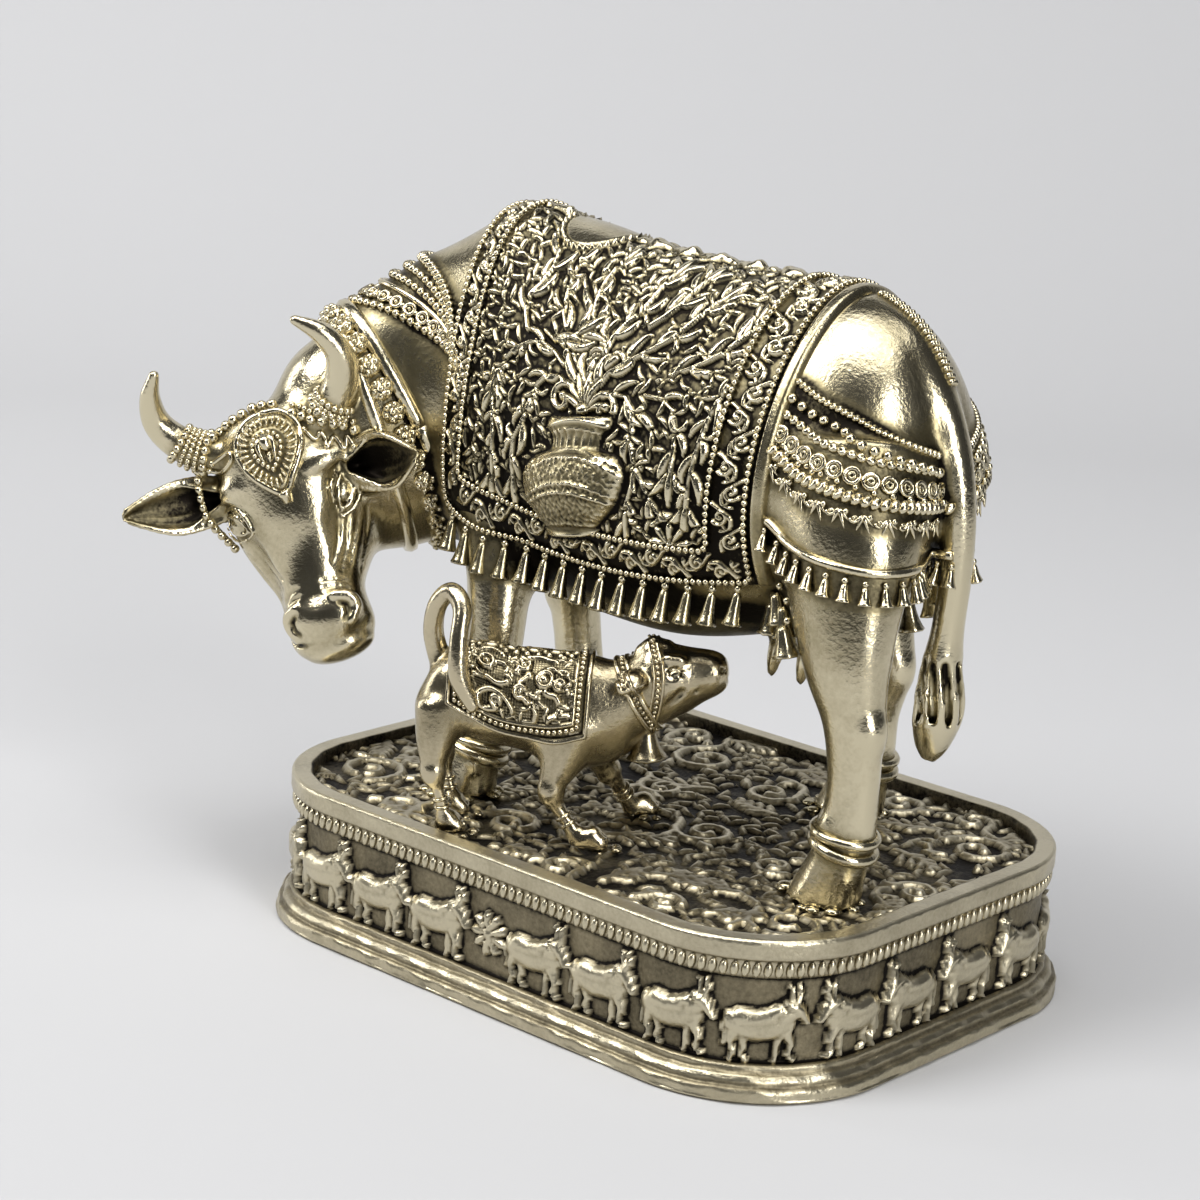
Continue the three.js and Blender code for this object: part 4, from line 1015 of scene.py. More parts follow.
# Where along the neck the meshes of body and head meet, under the collar.
SEAM_SHARE = 0.545
# A spot on the neck's side next to the ear that points back.
NECK_SIDE = np.array([-45.5, -15.3])


def seam_side(points):
    """Distance in front of the plane, inside the neck's collar, where the head's mesh takes over."""
    k = SEAM_SHARE * (len(NECK) - 1)
    centre = smooth(np.arange(len(NECK)), np.array(NECK)[:, :3], np.array(k))
    ahead = smooth(np.arange(len(NECK)), np.array(NECK)[:, :3], np.array(k + 0.05))
    return (points - centre) @ unit(ahead - centre)


def under_cloth(points):
    """True where the cloth's surface covers a point of the body."""
    x = np.clip(points[:, 0], TRUNK[0, 0], TRUNK[-1, 0])
    top, bottom, half = trunk_row(x)
    s = np.clip((points[:, 2] - (top + bottom) / 2) / ((top - bottom) / 2), -1, 1)
    near, far = hem_angles(x)
    share = (trunk_angle(x, points[:, 2], points[:, 1] < MIDDLE_Y) - near) / (far - near)
    front, rear = cloth_ends(np.clip(share, 0, 1))
    half = half * (1 - TRUNK_TAPER * s) * np.sqrt(1 - s * s)
    wide = np.abs(points[:, 1] - MIDDLE_Y) / np.maximum(half, 0.5)
    along = (points[:, 0] > front + CLOTH_OVERLAP) & (points[:, 0] < rear - CLOTH_OVERLAP)
    return along & (share > 0.03) & (share < 0.97) & ((wide < 1.06) | (s > 0.95))


def closeness(field, points, spots):
    """How near surface points lie to ornaments, from 0 to 1, for the painted shade beside them."""
    grid = np.zeros(field.shape, np.float32)
    cells = np.round(np.vstack(spots) / field.cell - field.origin).astype(int)
    cells = cells[((cells >= 0) & (cells < field.shape)).all(1)]
    grid[tuple(cells.T)] = 1
    near = sampled(blurred(grid, 0.9 / field.cell), points / field.cell - field.origin)
    return np.clip(4 * near, 0, 1)


def mesh_from_field(name, field, keep, shade, hollow_reach, base, spots):
    """The part of a field's surface that keep accepts, darker in its hollows and along its dark lines, with
    painted shade beside ornaments.
    """
    points, quads, standing = field.surface(hollow_reach)
    quads = quads[keep(points)[quads].any(1)]
    used, quads = np.unique(quads, return_inverse=True)
    points = points[used]
    # Hollows and the field's dark lines darken the colour; 0.38 times the closeness to ornaments is painted
    # shade beside them.
    wear = base + shade * standing[used] - field.darkening_at(points) - 0.38 * closeness(field, points, spots)
    return make_object(name, points, quads.reshape(-1, 4), COW_BRASS, wear)


# Stations of each ear in the head's frame, with half widths.
EARS = {
    -1: [(-10, 8.6, -8, 3.0, 2.6), (-16.4, 7.8, -6, 4.6, 2.6), (-21.6, 7.4, -2.5, 4.2, 2.0),
         (-28, 6, 2, 0.7, 0.6)],
    1: [(10, 10.6, -8, 3.4, 2.6), (14.4, 11.6, -6.6, 4.9, 2.8), (19.4, 12.4, -3.8, 4.9, 2.4),
        (25.2, 13.4, 0, 0.8, 0.7)],
}
# Each eye in the head's frame: middle, direction of its long axis, and direction it looks in.
EYES = {
    -1: ((-10.4, 13.9, -2.9), (0.60, 0.50, 0.60), (-0.62, -0.12, 0.78)),
    1: ((9.4, 14.4, -4.6), (-0.30, 0.92, 0.25), (0.80, 0.05, 0.60)),
}
# Creases that run from below the right eye to the muzzle; the left ones mirror them.
CREASES = [
    [(7.2, 18.2, -3.0), (6.2, 20.8, -2.9), (5.3, 22.9, -2.6), (3.9, 25.4, -2.0)],
    [(8.4, 18.8, -3.9), (7.2, 21.4, -3.9), (6.4, 23.6, -3.7), (4.6, 27.0, -2.7)],
    [(9.7, 18.8, -5.0), (8.5, 21.2, -5.0), (7.4, 23.4, -4.8), (5.8, 26.6, -3.9)],
    [(10.8, 18.4, -6.4), (9.7, 21.2, -6.3), (8.4, 24.0, -5.9), (6.4, 28.2, -5.0)],
]
FACE_MIDDLE = -0.7


# Folds round an eye: side of it, bow, half length, radius and rise.
EYE_FOLDS = (
    (1, 1.55, 3.5, 0.6, 0.15), (-1, 1.4, 3.5, 0.5, 0.0), (1, 2.9, 4.6, 0.55, 0.1),
    (-1, 2.7, 4.6, 0.35, 0.0),
)


def head_line(points, side=1):
    """Places of (left, down, out) points of the head; side -1 mirrors them over the middle of the face."""
    points = np.asarray(points, float)
    if side < 0:
        points = points * [-1, 1, 1] + [2 * FACE_MIDDLE, 0, 0]
    return head_spot(*points.T)


def face_line(field, points, side):
    """The same, dropped onto the face."""
    return field.land(head_line(points, side), -HEAD_OUT)


def swelling(middle, low, high, last, count=13):
    """Radii of a line that is thickest at one share of its length."""
    return np.interp(np.linspace(0, 1, count), [0, middle, 1], [low, high, last])


def add_eye(field, side):
    """An almond eye: hollow socket, ball, upper and lower lid, and a fold over and under them."""
    spot, along, outward = EYES[side]
    along, outward = unit(along) @ HEAD_AXES, unit(outward) @ HEAD_AXES
    middle = field.land(head_spot(*spot), -outward)
    along = unit(along - (along @ outward) * outward)
    across = np.cross(outward, along)
    axes = np.array([along, across, outward])
    field.ball(middle + 0.3 * outward, (5.6, 3.2, 1.1), axes, 1.2, cut=True)
    field.ball(middle - 0.2 * outward, (3.1, 1.5, 1.3), axes, 0.4, cut=True)
    field.ball(middle - 0.9 * outward, (2.3, 1.4, 1.6), axes, 0.1)
    field.darken(middle + np.outer([-4.6, 0, 4.6], along), 3.0, 0.16)
    reach = np.linspace(-1, 1, 13)
    for lift, bow, half, radius, rise in EYE_FOLDS:
        height = lift * bow * (1 - reach ** 2) ** 0.8
        local = np.column_stack([half * reach, height, rise - 0.55 * np.abs(reach) ** 3])
        field.rod(middle + local @ axes, radius * (1 - 0.5 * np.abs(reach)), 0.35)


def add_ear(field, side):
    """A leaf-shaped ear, hollowed to a thin rolled edge on the side that faces forward."""
    stations = [(*head_spot(left, down, out), wide, deep) for left, down, out, wide, deep in EARS[side]]
    field.join_tube(stations, HEAD_DOWN, 1.0)
    share = np.linspace(0.5, 2.86, 26)
    rows = smooth(np.arange(4), np.array(EARS[side], float), share)
    for (left, down, out, wide, deep), along in zip(rows, share):
        hollow = (wide - 1.0) * min(1, 0.35 + 0.75 * (along - 0.5))
        if hollow >= 0.3:
            place = head_spot(left, down, out + deep + 0.2)
            field.ball(place, (1.3, hollow, 1.35 * deep), HEAD_AXES, 0.25, cut=True)
    left, down, out, wide, deep = rows.T
    for edge in (-1, 1):
        rim = head_spot(left, down + edge * 0.94 * wide, out + 0.55 * deep)
        field.rod(rim, np.linspace(0.55, 0.4, len(rim)), 0.3)
    left, down, out, wide, deep = rows[wide > 1.5].T
    field.darken(head_spot(left, down, out - 0.6), 3.6, 0.66)
    fold = head_spot(left, down + 0.35 * wide, out - 0.25 * deep)
    field.rod(fold, np.linspace(0.7, 0.3, len(fold)), 0.5)


def add_muzzle(field, side):
    """Nostril, wing of the nose, mouth corner and the fine creases on one side of the muzzle."""
    wing = head_line([(3.0, 30.8, 0.2), (4.9, 31.6, -0.9), (5.6, 33.6, -1.6), (4.6, 35.6, -0.9)], side)
    field.rod(path(wing, 4), swelling(0.5, 0.8, 1.15, 0.8), 0.8)
    nostril = face_line(field, [(3.6, 32.4, 1.0), (4.5, 33.0, 0.3), (4.4, 34.4, 0.3), (3.6, 35.2, 0.9)], side)
    field.rod(path(nostril, 4), swelling(0.5, 0.2, 0.6, 0.25), 0.3, cut=True)
    field.darken(nostril, 0.6, 0.4)
    behind = head_line([(6.4, 30.8, -2.9), (7.4, 33.4, -3.6), (6.8, 36.6, -2.9)], side)
    field.rod(path(behind, 4), 0.4, 0.8, cut=True)
    mouth = [(0.0, 37.9, 1.6), (3.2, 37.6, 0.6), (5.6, 36.6, -2.4), (7.2, 34.8, -5.6), (7.6, 32.4, -8.0)]
    mouth = head_line(mouth, side)
    field.rod(path(mouth, 3), 0.42, 0.4, cut=True)
    field.darken(mouth, 0.6, 0.3)
    for at in (27.8, 29.1):
        crease = face_line(field, [(1.6, at, 1.2), (3.2, at + 0.4, 0.2), (4.8, at + 1.2, -2.0)], side)
        field.rod(path(crease, 3), 0.2, 0.6, cut=True)


def add_brow(field, side):
    """Swell over the eye, hollow of the cheek and the creases below the eye."""
    swell = head_line([(5.6, 8.6, -2.0), (8.6, 8.4, -3.6), (11.2, 9.4, -6.2)], side)
    field.rod(path(swell, 4), [0.9, 1.1, 1.3, 1.4, 1.5, 1.4, 1.3, 1.1, 0.9], 2.2)
    field.ball(head_line([(7.6, 23.5, -1.9)], side)[0], (1.6, 5.5, 1.6), HEAD_AXES, 2.6, cut=True)
    for line in CREASES:
        field.rod(path(face_line(field, line, side), 4), swelling(0.4, 0.1, 0.26, 0.08), 0.6, cut=True)


def make_head_field():
    field = Field((-88.0, -54, 38), (-34.0, 2, 108), HEAD_CELL)
    field.join_tube(NECK, NECK_ACROSS, 7)
    skull = [(*head_spot(-1.4, down, out), wide, deep) for down, out, wide, deep in SKULL]
    field.join_tube(skull, HEAD_LEFT, 3.0, power=2.05)
    field.values = blurred(field.values, 1.8 / field.cell)
    for side in (-1, 1):
        curve = path(horn(side), 6)
        field.rod(curve[:, :3], curve[:, 3], 0.8)
        add_brow(field, side)
    field.ball(head_spot(FACE_MIDDLE, 34.0, -2.2), (6.4, 4.6, 3.8), HEAD_AXES, 0.9)
    field.ball(head_spot(FACE_MIDDLE, 39.2, -5.0), (5.9, 2.6, 4.9), HEAD_AXES, 0.8)
    for side in (-1, 1):
        add_muzzle(field, side)
        add_eye(field, side)
        add_ear(field, side)
    for shrink in (0.82, 0.55, 0.25):
        plate, _ = on_brow(field, np.array(TEARDROP) * shrink + [BROW_MIDDLE, 4.5 * (1 - shrink)], 0)
        field.rod(plate, 1.0, 0.6)
    return field


def make_cow_body(body, head, spots):
    def behind_seam(points):
        on_neck = points[:, 0] < -42
        return ((seam_side(points) < 0.6) | ~on_neck) & ~under_cloth(points)

    def before_seam(points):
        beside = (points[:, :2] - NECK_SIDE) @ unit(NECK_ACROSS[:2])
        return (seam_side(points) > -0.6) | ((beside > 2.5) & (points[:, 1] < -17))

    return [
        mesh_from_field("cow_body", body, behind_seam, 0.55, 2.2, 0.66, spots),
        mesh_from_field("cow_head", head, before_seam, 0.8, 1.0, 0.70, spots),
    ]


# Cow's cloth. Canvas places are millimetres along it from the front, and up its side from the hem.
CLOTH_ALONG = 72.0
SHARES = np.linspace(0, 1, 121)
UP_THE_SIDE = np.linalg.norm(np.diff(cloth_spot(0.45, SHARES, CLOTH_RISE), axis=0), axis=1)
UP_THE_SIDE = np.concatenate([[0], np.cumsum(UP_THE_SIDE)])
CLOTH_UP = UP_THE_SIDE[-1] / 2
POT_X, POT_Z = -8.6, 81.6
# Outline of the pot, from its foot up: half width and height over its middle.
POT_PROFILE = np.array([
    (5.6, -8.6), (6.4, -7.9), (6.0, -7.4), (8.0, -5.6), (10.2, -3.0), (11.2, 0.2), (10.7, 2.4), (8.8, 4.3),
    (5.8, 5.4), (5.2, 6.2), (5.4, 7.8), (6.6, 9.0), (6.9, 10.0), (6.4, 10.9),
])
# How far the near pot's rings rise for each millimetre rearward.
POT_TILT = 0.2
POT_DEPTH = 0.36
# Raised rings round the pot: level, height and half width.
POT_RINGS = (
    (-8.1, 0.4, 0.4), (-6.0, 0.3, 0.25), (-0.7, 0.5, 0.35), (0.7, 0.45, 0.35), (4.7, 0.4, 0.35),
    (5.7, 0.3, 0.3), (8.9, 0.35, 0.3), (10.3, 0.6, 0.5),
)
# Bead lines of the border, as distances from the front edge, the hem and the rear edge.
OUTER_FRONT, OUTER_HEM, OUTER_REAR = 0.9, 1.6, 3.4
INNER_FRONT, INNER_HEM, INNER_REAR = 5.4, 7.6, 10.2
BOSS_ALONG, BOSS_HALF = 18.5, (7.0, 9.5)
RIDGE_BOSSES = (30.0, 36.5, 42.0, 49.5, 57.0)
SPRIG_LEAF, SPRIG_HEIGHT, SPRIG_STEM = 6.2, 1.35, 0.42
# Length of cloth border that one curl of its vine takes.
CURL_LENGTH = 4.3


def cloth_place(x, z):
    """Canvas place of a spot on the near side of the trunk."""
    near, far = hem_angles(x)
    share = (trunk_angle(x, z, True) - near) / (far - near)
    front, rear = cloth_ends(share)
    return np.array([(x - front) / (rear - front) * CLOTH_ALONG, np.interp(share, SHARES, UP_THE_SIDE)])


def draw_vine(canvas, start, end, wide, turn_first=1):
    """A vine of curls between two rows of beads, from start to end."""
    start, end = np.array(start), np.array(end)
    length = np.linalg.norm(end - start)
    along = (end - start) / length
    heading = math.atan2(along[1], along[0])
    count = max(1, int(round(length / CURL_LENGTH)))
    step = along * 0.5 * length / count
    for n in range(count):
        side = turn_first if n % 2 else -turn_first
        across = side * wide * np.array([-along[1], along[0]])
        middle = start + (2 * n + 1) * step + 0.16 * across
        canvas.spiral(*middle, wide * 0.27, heading + side * 2.2, side * 1.15, 0.45, 1.15)
        stem = path([middle - step - 0.3 * across, middle - 0.28 * across, middle + step + 0.3 * across], 3)
        canvas.stroke(stem, 0.34, 0.9)
        for lean in (0.7, 1.7, -0.6):
            canvas.petal(*(middle + 0.8 * step - 0.1 * across), heading - side * lean, wide * 0.3, 0.34, 0.85)
        canvas.dot(*(middle + step + 0.32 * across), 0.42, 0.8)


def draw_leaf(canvas, foot, heading, length, curl, height, width=0.14):
    """A pointed leaf that bends to one side, with a groove down its middle and a cut round its edge."""
    share = np.linspace(0, 1, 8)
    step = aim(heading + curl * share ** 1.3) * length / 7
    line = np.asarray(foot) + np.vstack([[0, 0], np.cumsum(step[:-1], axis=0)])
    wide = width * length * np.sin(np.pi * (0.1 + 0.87 * share ** 0.85))
    canvas.stroke(line[1:], wide[1:] + 0.25, 0.8, "sunk")
    canvas.stroke(line, wide, height * (0.7 + 0.3 * np.sin(np.pi * share)), "grooved")


def draw_sprig(canvas, points):
    """A winding stem with leaves to either side that lean along it and roll over at their tips."""
    line = thread(path(points, 6), SPRIG_LEAF * 0.5)
    way = np.gradient(line, axis=0)
    heading = np.arctan2(way[:, 1], way[:, 0])
    for n in range(1, len(line) - 1):
        side = 1 if n % 2 else -1
        size = SPRIG_LEAF * rng.uniform(0.75, 1.15)
        lean = heading[n] + side * rng.uniform(0.65, 0.85)
        draw_leaf(canvas, line[n], lean, size, -side * rng.uniform(0.8, 1.5), SPRIG_HEIGHT)
        if n % 3 == 0:
            draw_leaf(canvas, line[n], heading[n] + side * 1.3, 0.6 * size, side * 2.4, 0.9 * SPRIG_HEIGHT)
    canvas.stroke(line, np.linspace(SPRIG_STEM, 0.55 * SPRIG_STEM, len(line)), SPRIG_HEIGHT)
    for lean in (-0.55, 0.55, 0.0):
        draw_leaf(canvas, line[-1], heading[-1] + lean, SPRIG_LEAF, lean, SPRIG_HEIGHT)


def fill_gaps(canvas, low, high, leaf, height, limit):
    """Puts small leaves wherever the ground would stay barer than the limit."""
    for x in np.arange(low[0], high[0], 0.6 * leaf):
        for y in np.arange(low[1], high[1], 0.6 * leaf):
            place = np.array([x, y]) + rng.uniform(-0.2, 0.2, 2) * leaf
            reach = 0.42 * leaf
            lo = np.maximum(((place - reach) * canvas.dots).astype(int), 0)
            hi = ((place + reach) * canvas.dots).astype(int) + 1
            window = canvas.relief[lo[0]:hi[0], lo[1]:hi[1]]
            if window.size == 0 or window.mean() > limit:
                continue
            heading = rng.uniform(0, 2 * np.pi)
            for lean in (-0.6, 0.6):
                curl = rng.uniform(0.5, 1.4) * np.sign(lean)
                draw_leaf(canvas, place, heading + lean, 0.8 * leaf, curl, height)


# Stems of the bouquet, in millimetres on the cloth from the pot's mouth: rearward and up.
STEMS = [
    [(-1.2, 1), (-3.2, 6.5), (-9.6, 13.5), (-11.2, 19.6), (-12.3, 27)],
    [(-0.4, 1), (-1.1, 7.4), (-3.2, 13.5), (-4.8, 19.6), (-4.2, 28)],
    [(0.4, 1), (1.1, 7.4), (2.1, 13.5), (5.3, 18.6), (6.6, 27)],
    [(1.2, 1), (3.2, 6.5), (8.6, 10.9), (14, 15.6), (18.4, 23.4)],
    [(13.9, 7.4), (18.4, 10), (23.3, 13.3), (27.5, 18.5)],
    [(8, 16), (11.5, 20.5), (13, 27)],
    [(-3.4, 3.0), (-8.0, 4.4), (-11.4, 1.2), (-12.3, -3.9), (-14.4, -8.3), (-13.9, -14.3)],
    [(-6.4, 6.2), (-10.7, 8.4), (-14.9, 7.8), (-18.7, 4.8), (-20.6, 0.9)],
    [(-19.4, 4.0), (-21.2, -1.3), (-19.6, -7.8), (-19.2, -15.3)],
    [(-16.4, 9.5), (-18.6, 14.2), (-16.2, 20.0), (-17.4, 27)],
    [(3.0, 2.4), (7.4, 4.2), (11.0, 1.7), (11.8, -2.6), (13.3, -6.5), (16, -9.6), (19.3, -13.5)],
    [(12.4, 4.8), (17.7, 4.4), (20.4, -0.3), (20.9, -6.4)],
    [(27.4, 8.7), (25.9, 2.6), (25.0, -4.3), (24.6, -11.9)],
    [(13.2, -9.6), (12.4, -14.6), (12.6, -19)],
    [(-12.4, 10.5), (-8.6, 9.4), (-5.6, 11.8)],
]


def draw_bouquet(canvas, hub):
    """Stems and leaves over the whole panel, a fan of leaves at the pot's mouth, and the ground's grain."""
    low = np.array([INNER_FRONT + 1.0, INNER_HEM + 1.0])
    high = np.array([CLOTH_ALONG - INNER_REAR - 1.0, CLOTH_UP])
    for stem in STEMS:
        draw_sprig(canvas, hub + np.array(stem))
    for heading in 0.5 + 2.15 * np.arange(7) / 6:
        draw_leaf(canvas, hub, heading, 6.6, 0.6 * (heading - 1.57), 1.5, 0.11)
    canvas.dot(*hub, 1.4, 1.8)
    for side in (-1, 1):
        canvas.spiral(hub[0] + side * 4.8, hub[1] + 1.0, 2.7, 1.57 + side * 0.6, -side * 1.1, 0.75, 1.35)
    fill_gaps(canvas, low, high, 4.2, 0.8, 0.22)
    fill_gaps(canvas, low, high, 2.6, 0.55, 0.1)
    first, last = (np.floor(corner * canvas.dots).astype(int) for corner in (low, high))
    panel = canvas.relief[first[0]:last[0], first[1]:last[1]]
    grain = blurred(rng.uniform(0, 1, panel.shape).astype(np.float32), 2.2)
    np.maximum(panel, 1.5 * np.clip(grain - 0.5, 0, 0.12), out=panel)


def draw_big_flower(canvas, x, y):
    """A flower in a cleared round of the panel's rear lower corner."""
    u, v = canvas.grid()
    canvas.relief[np.hypot(u - x, v - y) < 4.3] = 0
    canvas.flower(x, y, 9, 0.2, 0.9, 3.3, 0.62, 1.1)
    canvas.dot(x, y, 0.95, 1.3)


def draw_spine(canvas):
    """A plain oval boss with a roped edge on the hump, and the ridge of the back behind it."""
    u, v = canvas.grid()
    du, dv = (u - BOSS_ALONG) / BOSS_HALF[0], (v - CLOTH_UP) / BOSS_HALF[1]
    away = np.hypot(du, dv)
    rope = np.exp(-((away - 0.93) / 0.055) ** 2) * (1.0 + 0.35 * np.sin(34 * np.arctan2(dv, du)))
    boss = np.maximum(0.75 * step_between(0.92, 0.8, away) + 0.6 * np.clip(1 - away ** 2, 0, 1), 1.3 * rope)
    canvas.relief = np.where(away < 1.02, boss, canvas.relief).astype(np.float32)
    for along in RIDGE_BOSSES:
        canvas.dot(along, CLOTH_UP, 2.1, 1.8)
    ridge = step_between(1.3, 0.5, CLOTH_UP - v) * (away > 1.02)
    spine = 1.0 + 0.25 * np.sin(2.4 * u) + 0.9 * np.clip(np.sin(0.95 * u - 2.0), 0, 1)
    canvas.relief = (canvas.relief * (1 - ridge) + spine * ridge).astype(np.float32)


def draw_border(canvas):
    """Clears the border to a plain ground, and lays its vines and the smooth band at the rear."""
    u, v = canvas.grid()
    border = (u < INNER_FRONT + 0.6) | (u > CLOTH_ALONG - INNER_REAR - 0.6) | (v < INNER_HEM + 0.6)
    canvas.relief[border] = 0
    rear = CLOTH_ALONG - (OUTER_REAR + INNER_REAR) / 2
    hem = (OUTER_HEM + INNER_HEM) / 2
    front = (OUTER_FRONT + INNER_FRONT) / 2
    draw_vine(canvas, (rear, INNER_HEM), (rear, CLOTH_UP), INNER_REAR - OUTER_REAR - 1.2)
    draw_vine(canvas, (INNER_FRONT, hem), (rear + 1, hem), INNER_HEM - OUTER_HEM - 1.2, -1)
    draw_vine(canvas, (front, hem), (front, CLOTH_UP), INNER_FRONT - OUTER_FRONT - 0.8)
    band = 0.85 * step_between(OUTER_REAR - 0.7, OUTER_REAR - 1.2, CLOTH_ALONG - u)
    np.maximum(canvas.relief, band, out=canvas.relief)


def draw_pot(canvas, pot_at, tilt):
    """The full pot, which stands far out of the ground and takes the place of what lies under it."""
    u, v = canvas.grid()
    du = u - pot_at[0]
    dv = v - pot_at[1] - tilt * du
    order = np.argsort(POT_PROFILE[:, 1])
    radius = smooth(POT_PROFILE[order, 1], POT_PROFILE[order, 0], dv)
    pot = POT_DEPTH * radius * np.sqrt(np.clip(1 - (du / radius) ** 2, 0, 1))
    pot = pot * ((dv > -8.6) & (dv < 10.9))
    for level, high, wide in POT_RINGS:
        pot = pot + (pot > 0) * high * np.exp(-((dv + 0.03 * du * du - level) / wide) ** 2)
    fluted = 0.5 + 0.5 * np.cos(19 * np.arcsin(np.clip(du / radius, -1, 1)))
    pot = pot - (pot > 0) * ((dv > 6.0) & (dv < 9.0)) * 0.25 * fluted
    grain = np.sin(4.1 * du + 1.7 * np.sin(2.3 * dv)) * np.sin(4.4 * dv + 1.3 * np.sin(2.9 * du))
    pot = pot + ((pot > 0) & (dv < 4.6) & (dv > -6.6)) * 0.2 * grain
    near_pot = step_between(1.3, 1.0, np.abs(du) / radius) * ((dv > -9.8) & (dv < 11.4))
    around = canvas.relief * (1 - 0.9 * near_pot)
    canvas.relief = np.where(pot > 0, np.maximum(pot, 0.6), around).astype(np.float32)


def draw_cloth(tilt):
    canvas = Canvas(CLOTH_ALONG, CLOTH_UP)
    pot_at = cloth_place(POT_X, POT_Z)
    hub = pot_at + [0, 12.0]
    draw_bouquet(canvas, hub)
    draw_big_flower(canvas, *(hub + [21.5, -19.0]))
    draw_spine(canvas)
    draw_border(canvas)
    draw_pot(canvas, pot_at, tilt)
    return canvas


def pushed_out(base, below, field, gap):
    """Moves places of a sheet off its underside where the body is fuller, and gives their normals."""
    normal = unit(base - below)
    push = np.maximum(gap - field.distance(base), 0)
    return base + push[..., None] * normal, normal


def cloth_ground(u, v, near, body):
    """Places on the ground of the near or the far half of the cloth, and their normals."""
    share = np.interp(v, UP_THE_SIDE, SHARES)
    share = share if near else 1 - share
    base, below = (cloth_spot(u / CLOTH_ALONG, share, rise) for rise in (CLOTH_RISE, 0))
    return pushed_out(base, below, body, 0.75)


def make_cloth(name, canvas, body, near, cell):
    """Half of the cloth, from a hem up to the ridge of the back."""
    columns, rows = int(CLOTH_ALONG / cell), int(CLOTH_UP / cell)
    u, v = np.meshgrid(np.linspace(0, CLOTH_ALONG, columns), np.linspace(0, CLOTH_UP, rows), indexing="ij")
    ground, normal = cloth_ground(u, v, near, body)
    edge = np.minimum(np.minimum(u, CLOTH_ALONG - u), v)
    tuck = 1.7 * step_between(0.3, 0.0, edge)
    high = canvas.height_at(u, v) * step_between(0.1, 0.9, edge)
    points = ground + (0.8 * high - 0.35 - tuck)[..., None] * normal
    wear = canvas.wear_at(u, v, 0.45, 0.17 + 0.2 * v / CLOTH_UP)
    wear = wear - 0.06 * (high < 0.08) - 0.1 * step_between(1.7, 2.4, high)
    faces = grid_faces(columns, rows)
    if near:
        faces = faces[:, ::-1]
    return make_object(name, points.reshape(-1, 3), faces, COW_BRASS, wear.ravel())


def border_line(front, hem, rear):
    """Canvas places along a border, from the ridge down the front, along the hem and up the rear."""
    last = CLOTH_ALONG - rear
    lower = [(front, hem + 1), (front + 1, hem), (last - 1, hem), (last, hem + 1)]
    return [(front, CLOTH_UP), *lower, (last, CLOTH_UP)]


TASSELS = 15


def add_cloth_trim(parts, body, near):
    """The two rows of beads and the tassels along the hem."""
    for border in ((OUTER_FRONT, OUTER_HEM, OUTER_REAR), (INNER_FRONT, INNER_HEM, INNER_REAR)):
        u, v = thread(border_line(*border), 0.5).T
        ground, normal = cloth_ground(u, v, near, body)
        add_beads(parts, thread(ground + 0.25 * normal, 1.18), 0.58, 0.85, small=True)
    for n in range(TASSELS):
        u = 1.2 + (CLOTH_ALONG - 5.0) * (n + 0.5) / TASSELS
        ground, normal = cloth_ground(np.array([u]), np.array([0.6]), near, body)
        top = ground[0] + 0.1 * normal[0]
        add_beads(parts, [top - [0, 0, 0.4]], 0.75, 0.85, small=True)
        way = np.array([0, 0.25 * normal[0, 1], -1.0])
        add_bell(parts, top - [0, 0, 0.8], way, 5.6, 1.55, 0.72, pleated=True)


def make_cow_cloth(body):
    near_canvas, far_canvas = draw_cloth(POT_TILT), draw_cloth(0.0)
    near = make_cloth("cow_cloth_near", near_canvas, body, True, NEAR_CLOTH_CELL)
    far = make_cloth("cow_cloth_far", far_canvas, body, False, FAR_CLOTH_CELL)
    return [near, far]


# Cow's jewellery.

def section_ring(stations, across, share, angle):
    """Points round one section of a tube, and their outward directions."""
    stations = np.asarray(stations, float)
    k = np.broadcast_to(np.asarray(share, float), np.shape(angle)) * (len(stations) - 1)
    keys = np.arange(len(stations))
    row = smooth(keys, stations, k)
    tangent = unit(smooth(keys, stations[:, :3], k + 0.05) - smooth(keys, stations[:, :3], k - 0.05))
    side = unit(across - (tangent @ across)[..., None] * tangent)
    up = np.cross(tangent, side)
    c, s = np.cos(angle)[..., None], np.sin(angle)[..., None]
    wide, deep = row[..., 3:4], row[..., 4:5]
    return row[..., :3] + wide * c * side + deep * s * up, unit(c / wide * side + s / deep * up)


def settle(field, rough, way, lift):
    """Drops places onto a field's surface and lifts them a little along its normals there."""
    places = field.land(rough, way)
    normals = field.normal(places)
    return places + lift * normals, normals


def land_along(field, points, outward, lift, gap=5.0):
    return settle(field, points + gap * outward, -outward, lift)


def land_round(field, line, side, lift):
    """A line of (x, z) places on the haunch, laid on the near side (-1) or the far side (1)."""
    x, z = thread(line, 0.8).T
    rough = np.column_stack([x, MIDDLE_Y + side * (12.0 - 1.2 * np.clip(x - 42, 0, 9)), z])
    outward = unit(np.column_stack([np.clip(x - 34, 0.2, 14) * 0.8, np.full(len(x), side * 9.0), 0 * x]))
    return settle(field, rough + 22 * outward, -outward, lift)


def add_hoop(parts, field, stations, share, around, radius, wear, sides, lift, gap=3):
    """A cord round one section of a neck or a leg."""
    points, out = section_ring(stations, ALONG_Y, share, np.linspace(0, 2 * np.pi, around))
    places, normals = land_along(field, points, out, lift, gap)
    add_cord(parts, places, radius, wear, sides=sides, normals=normals)


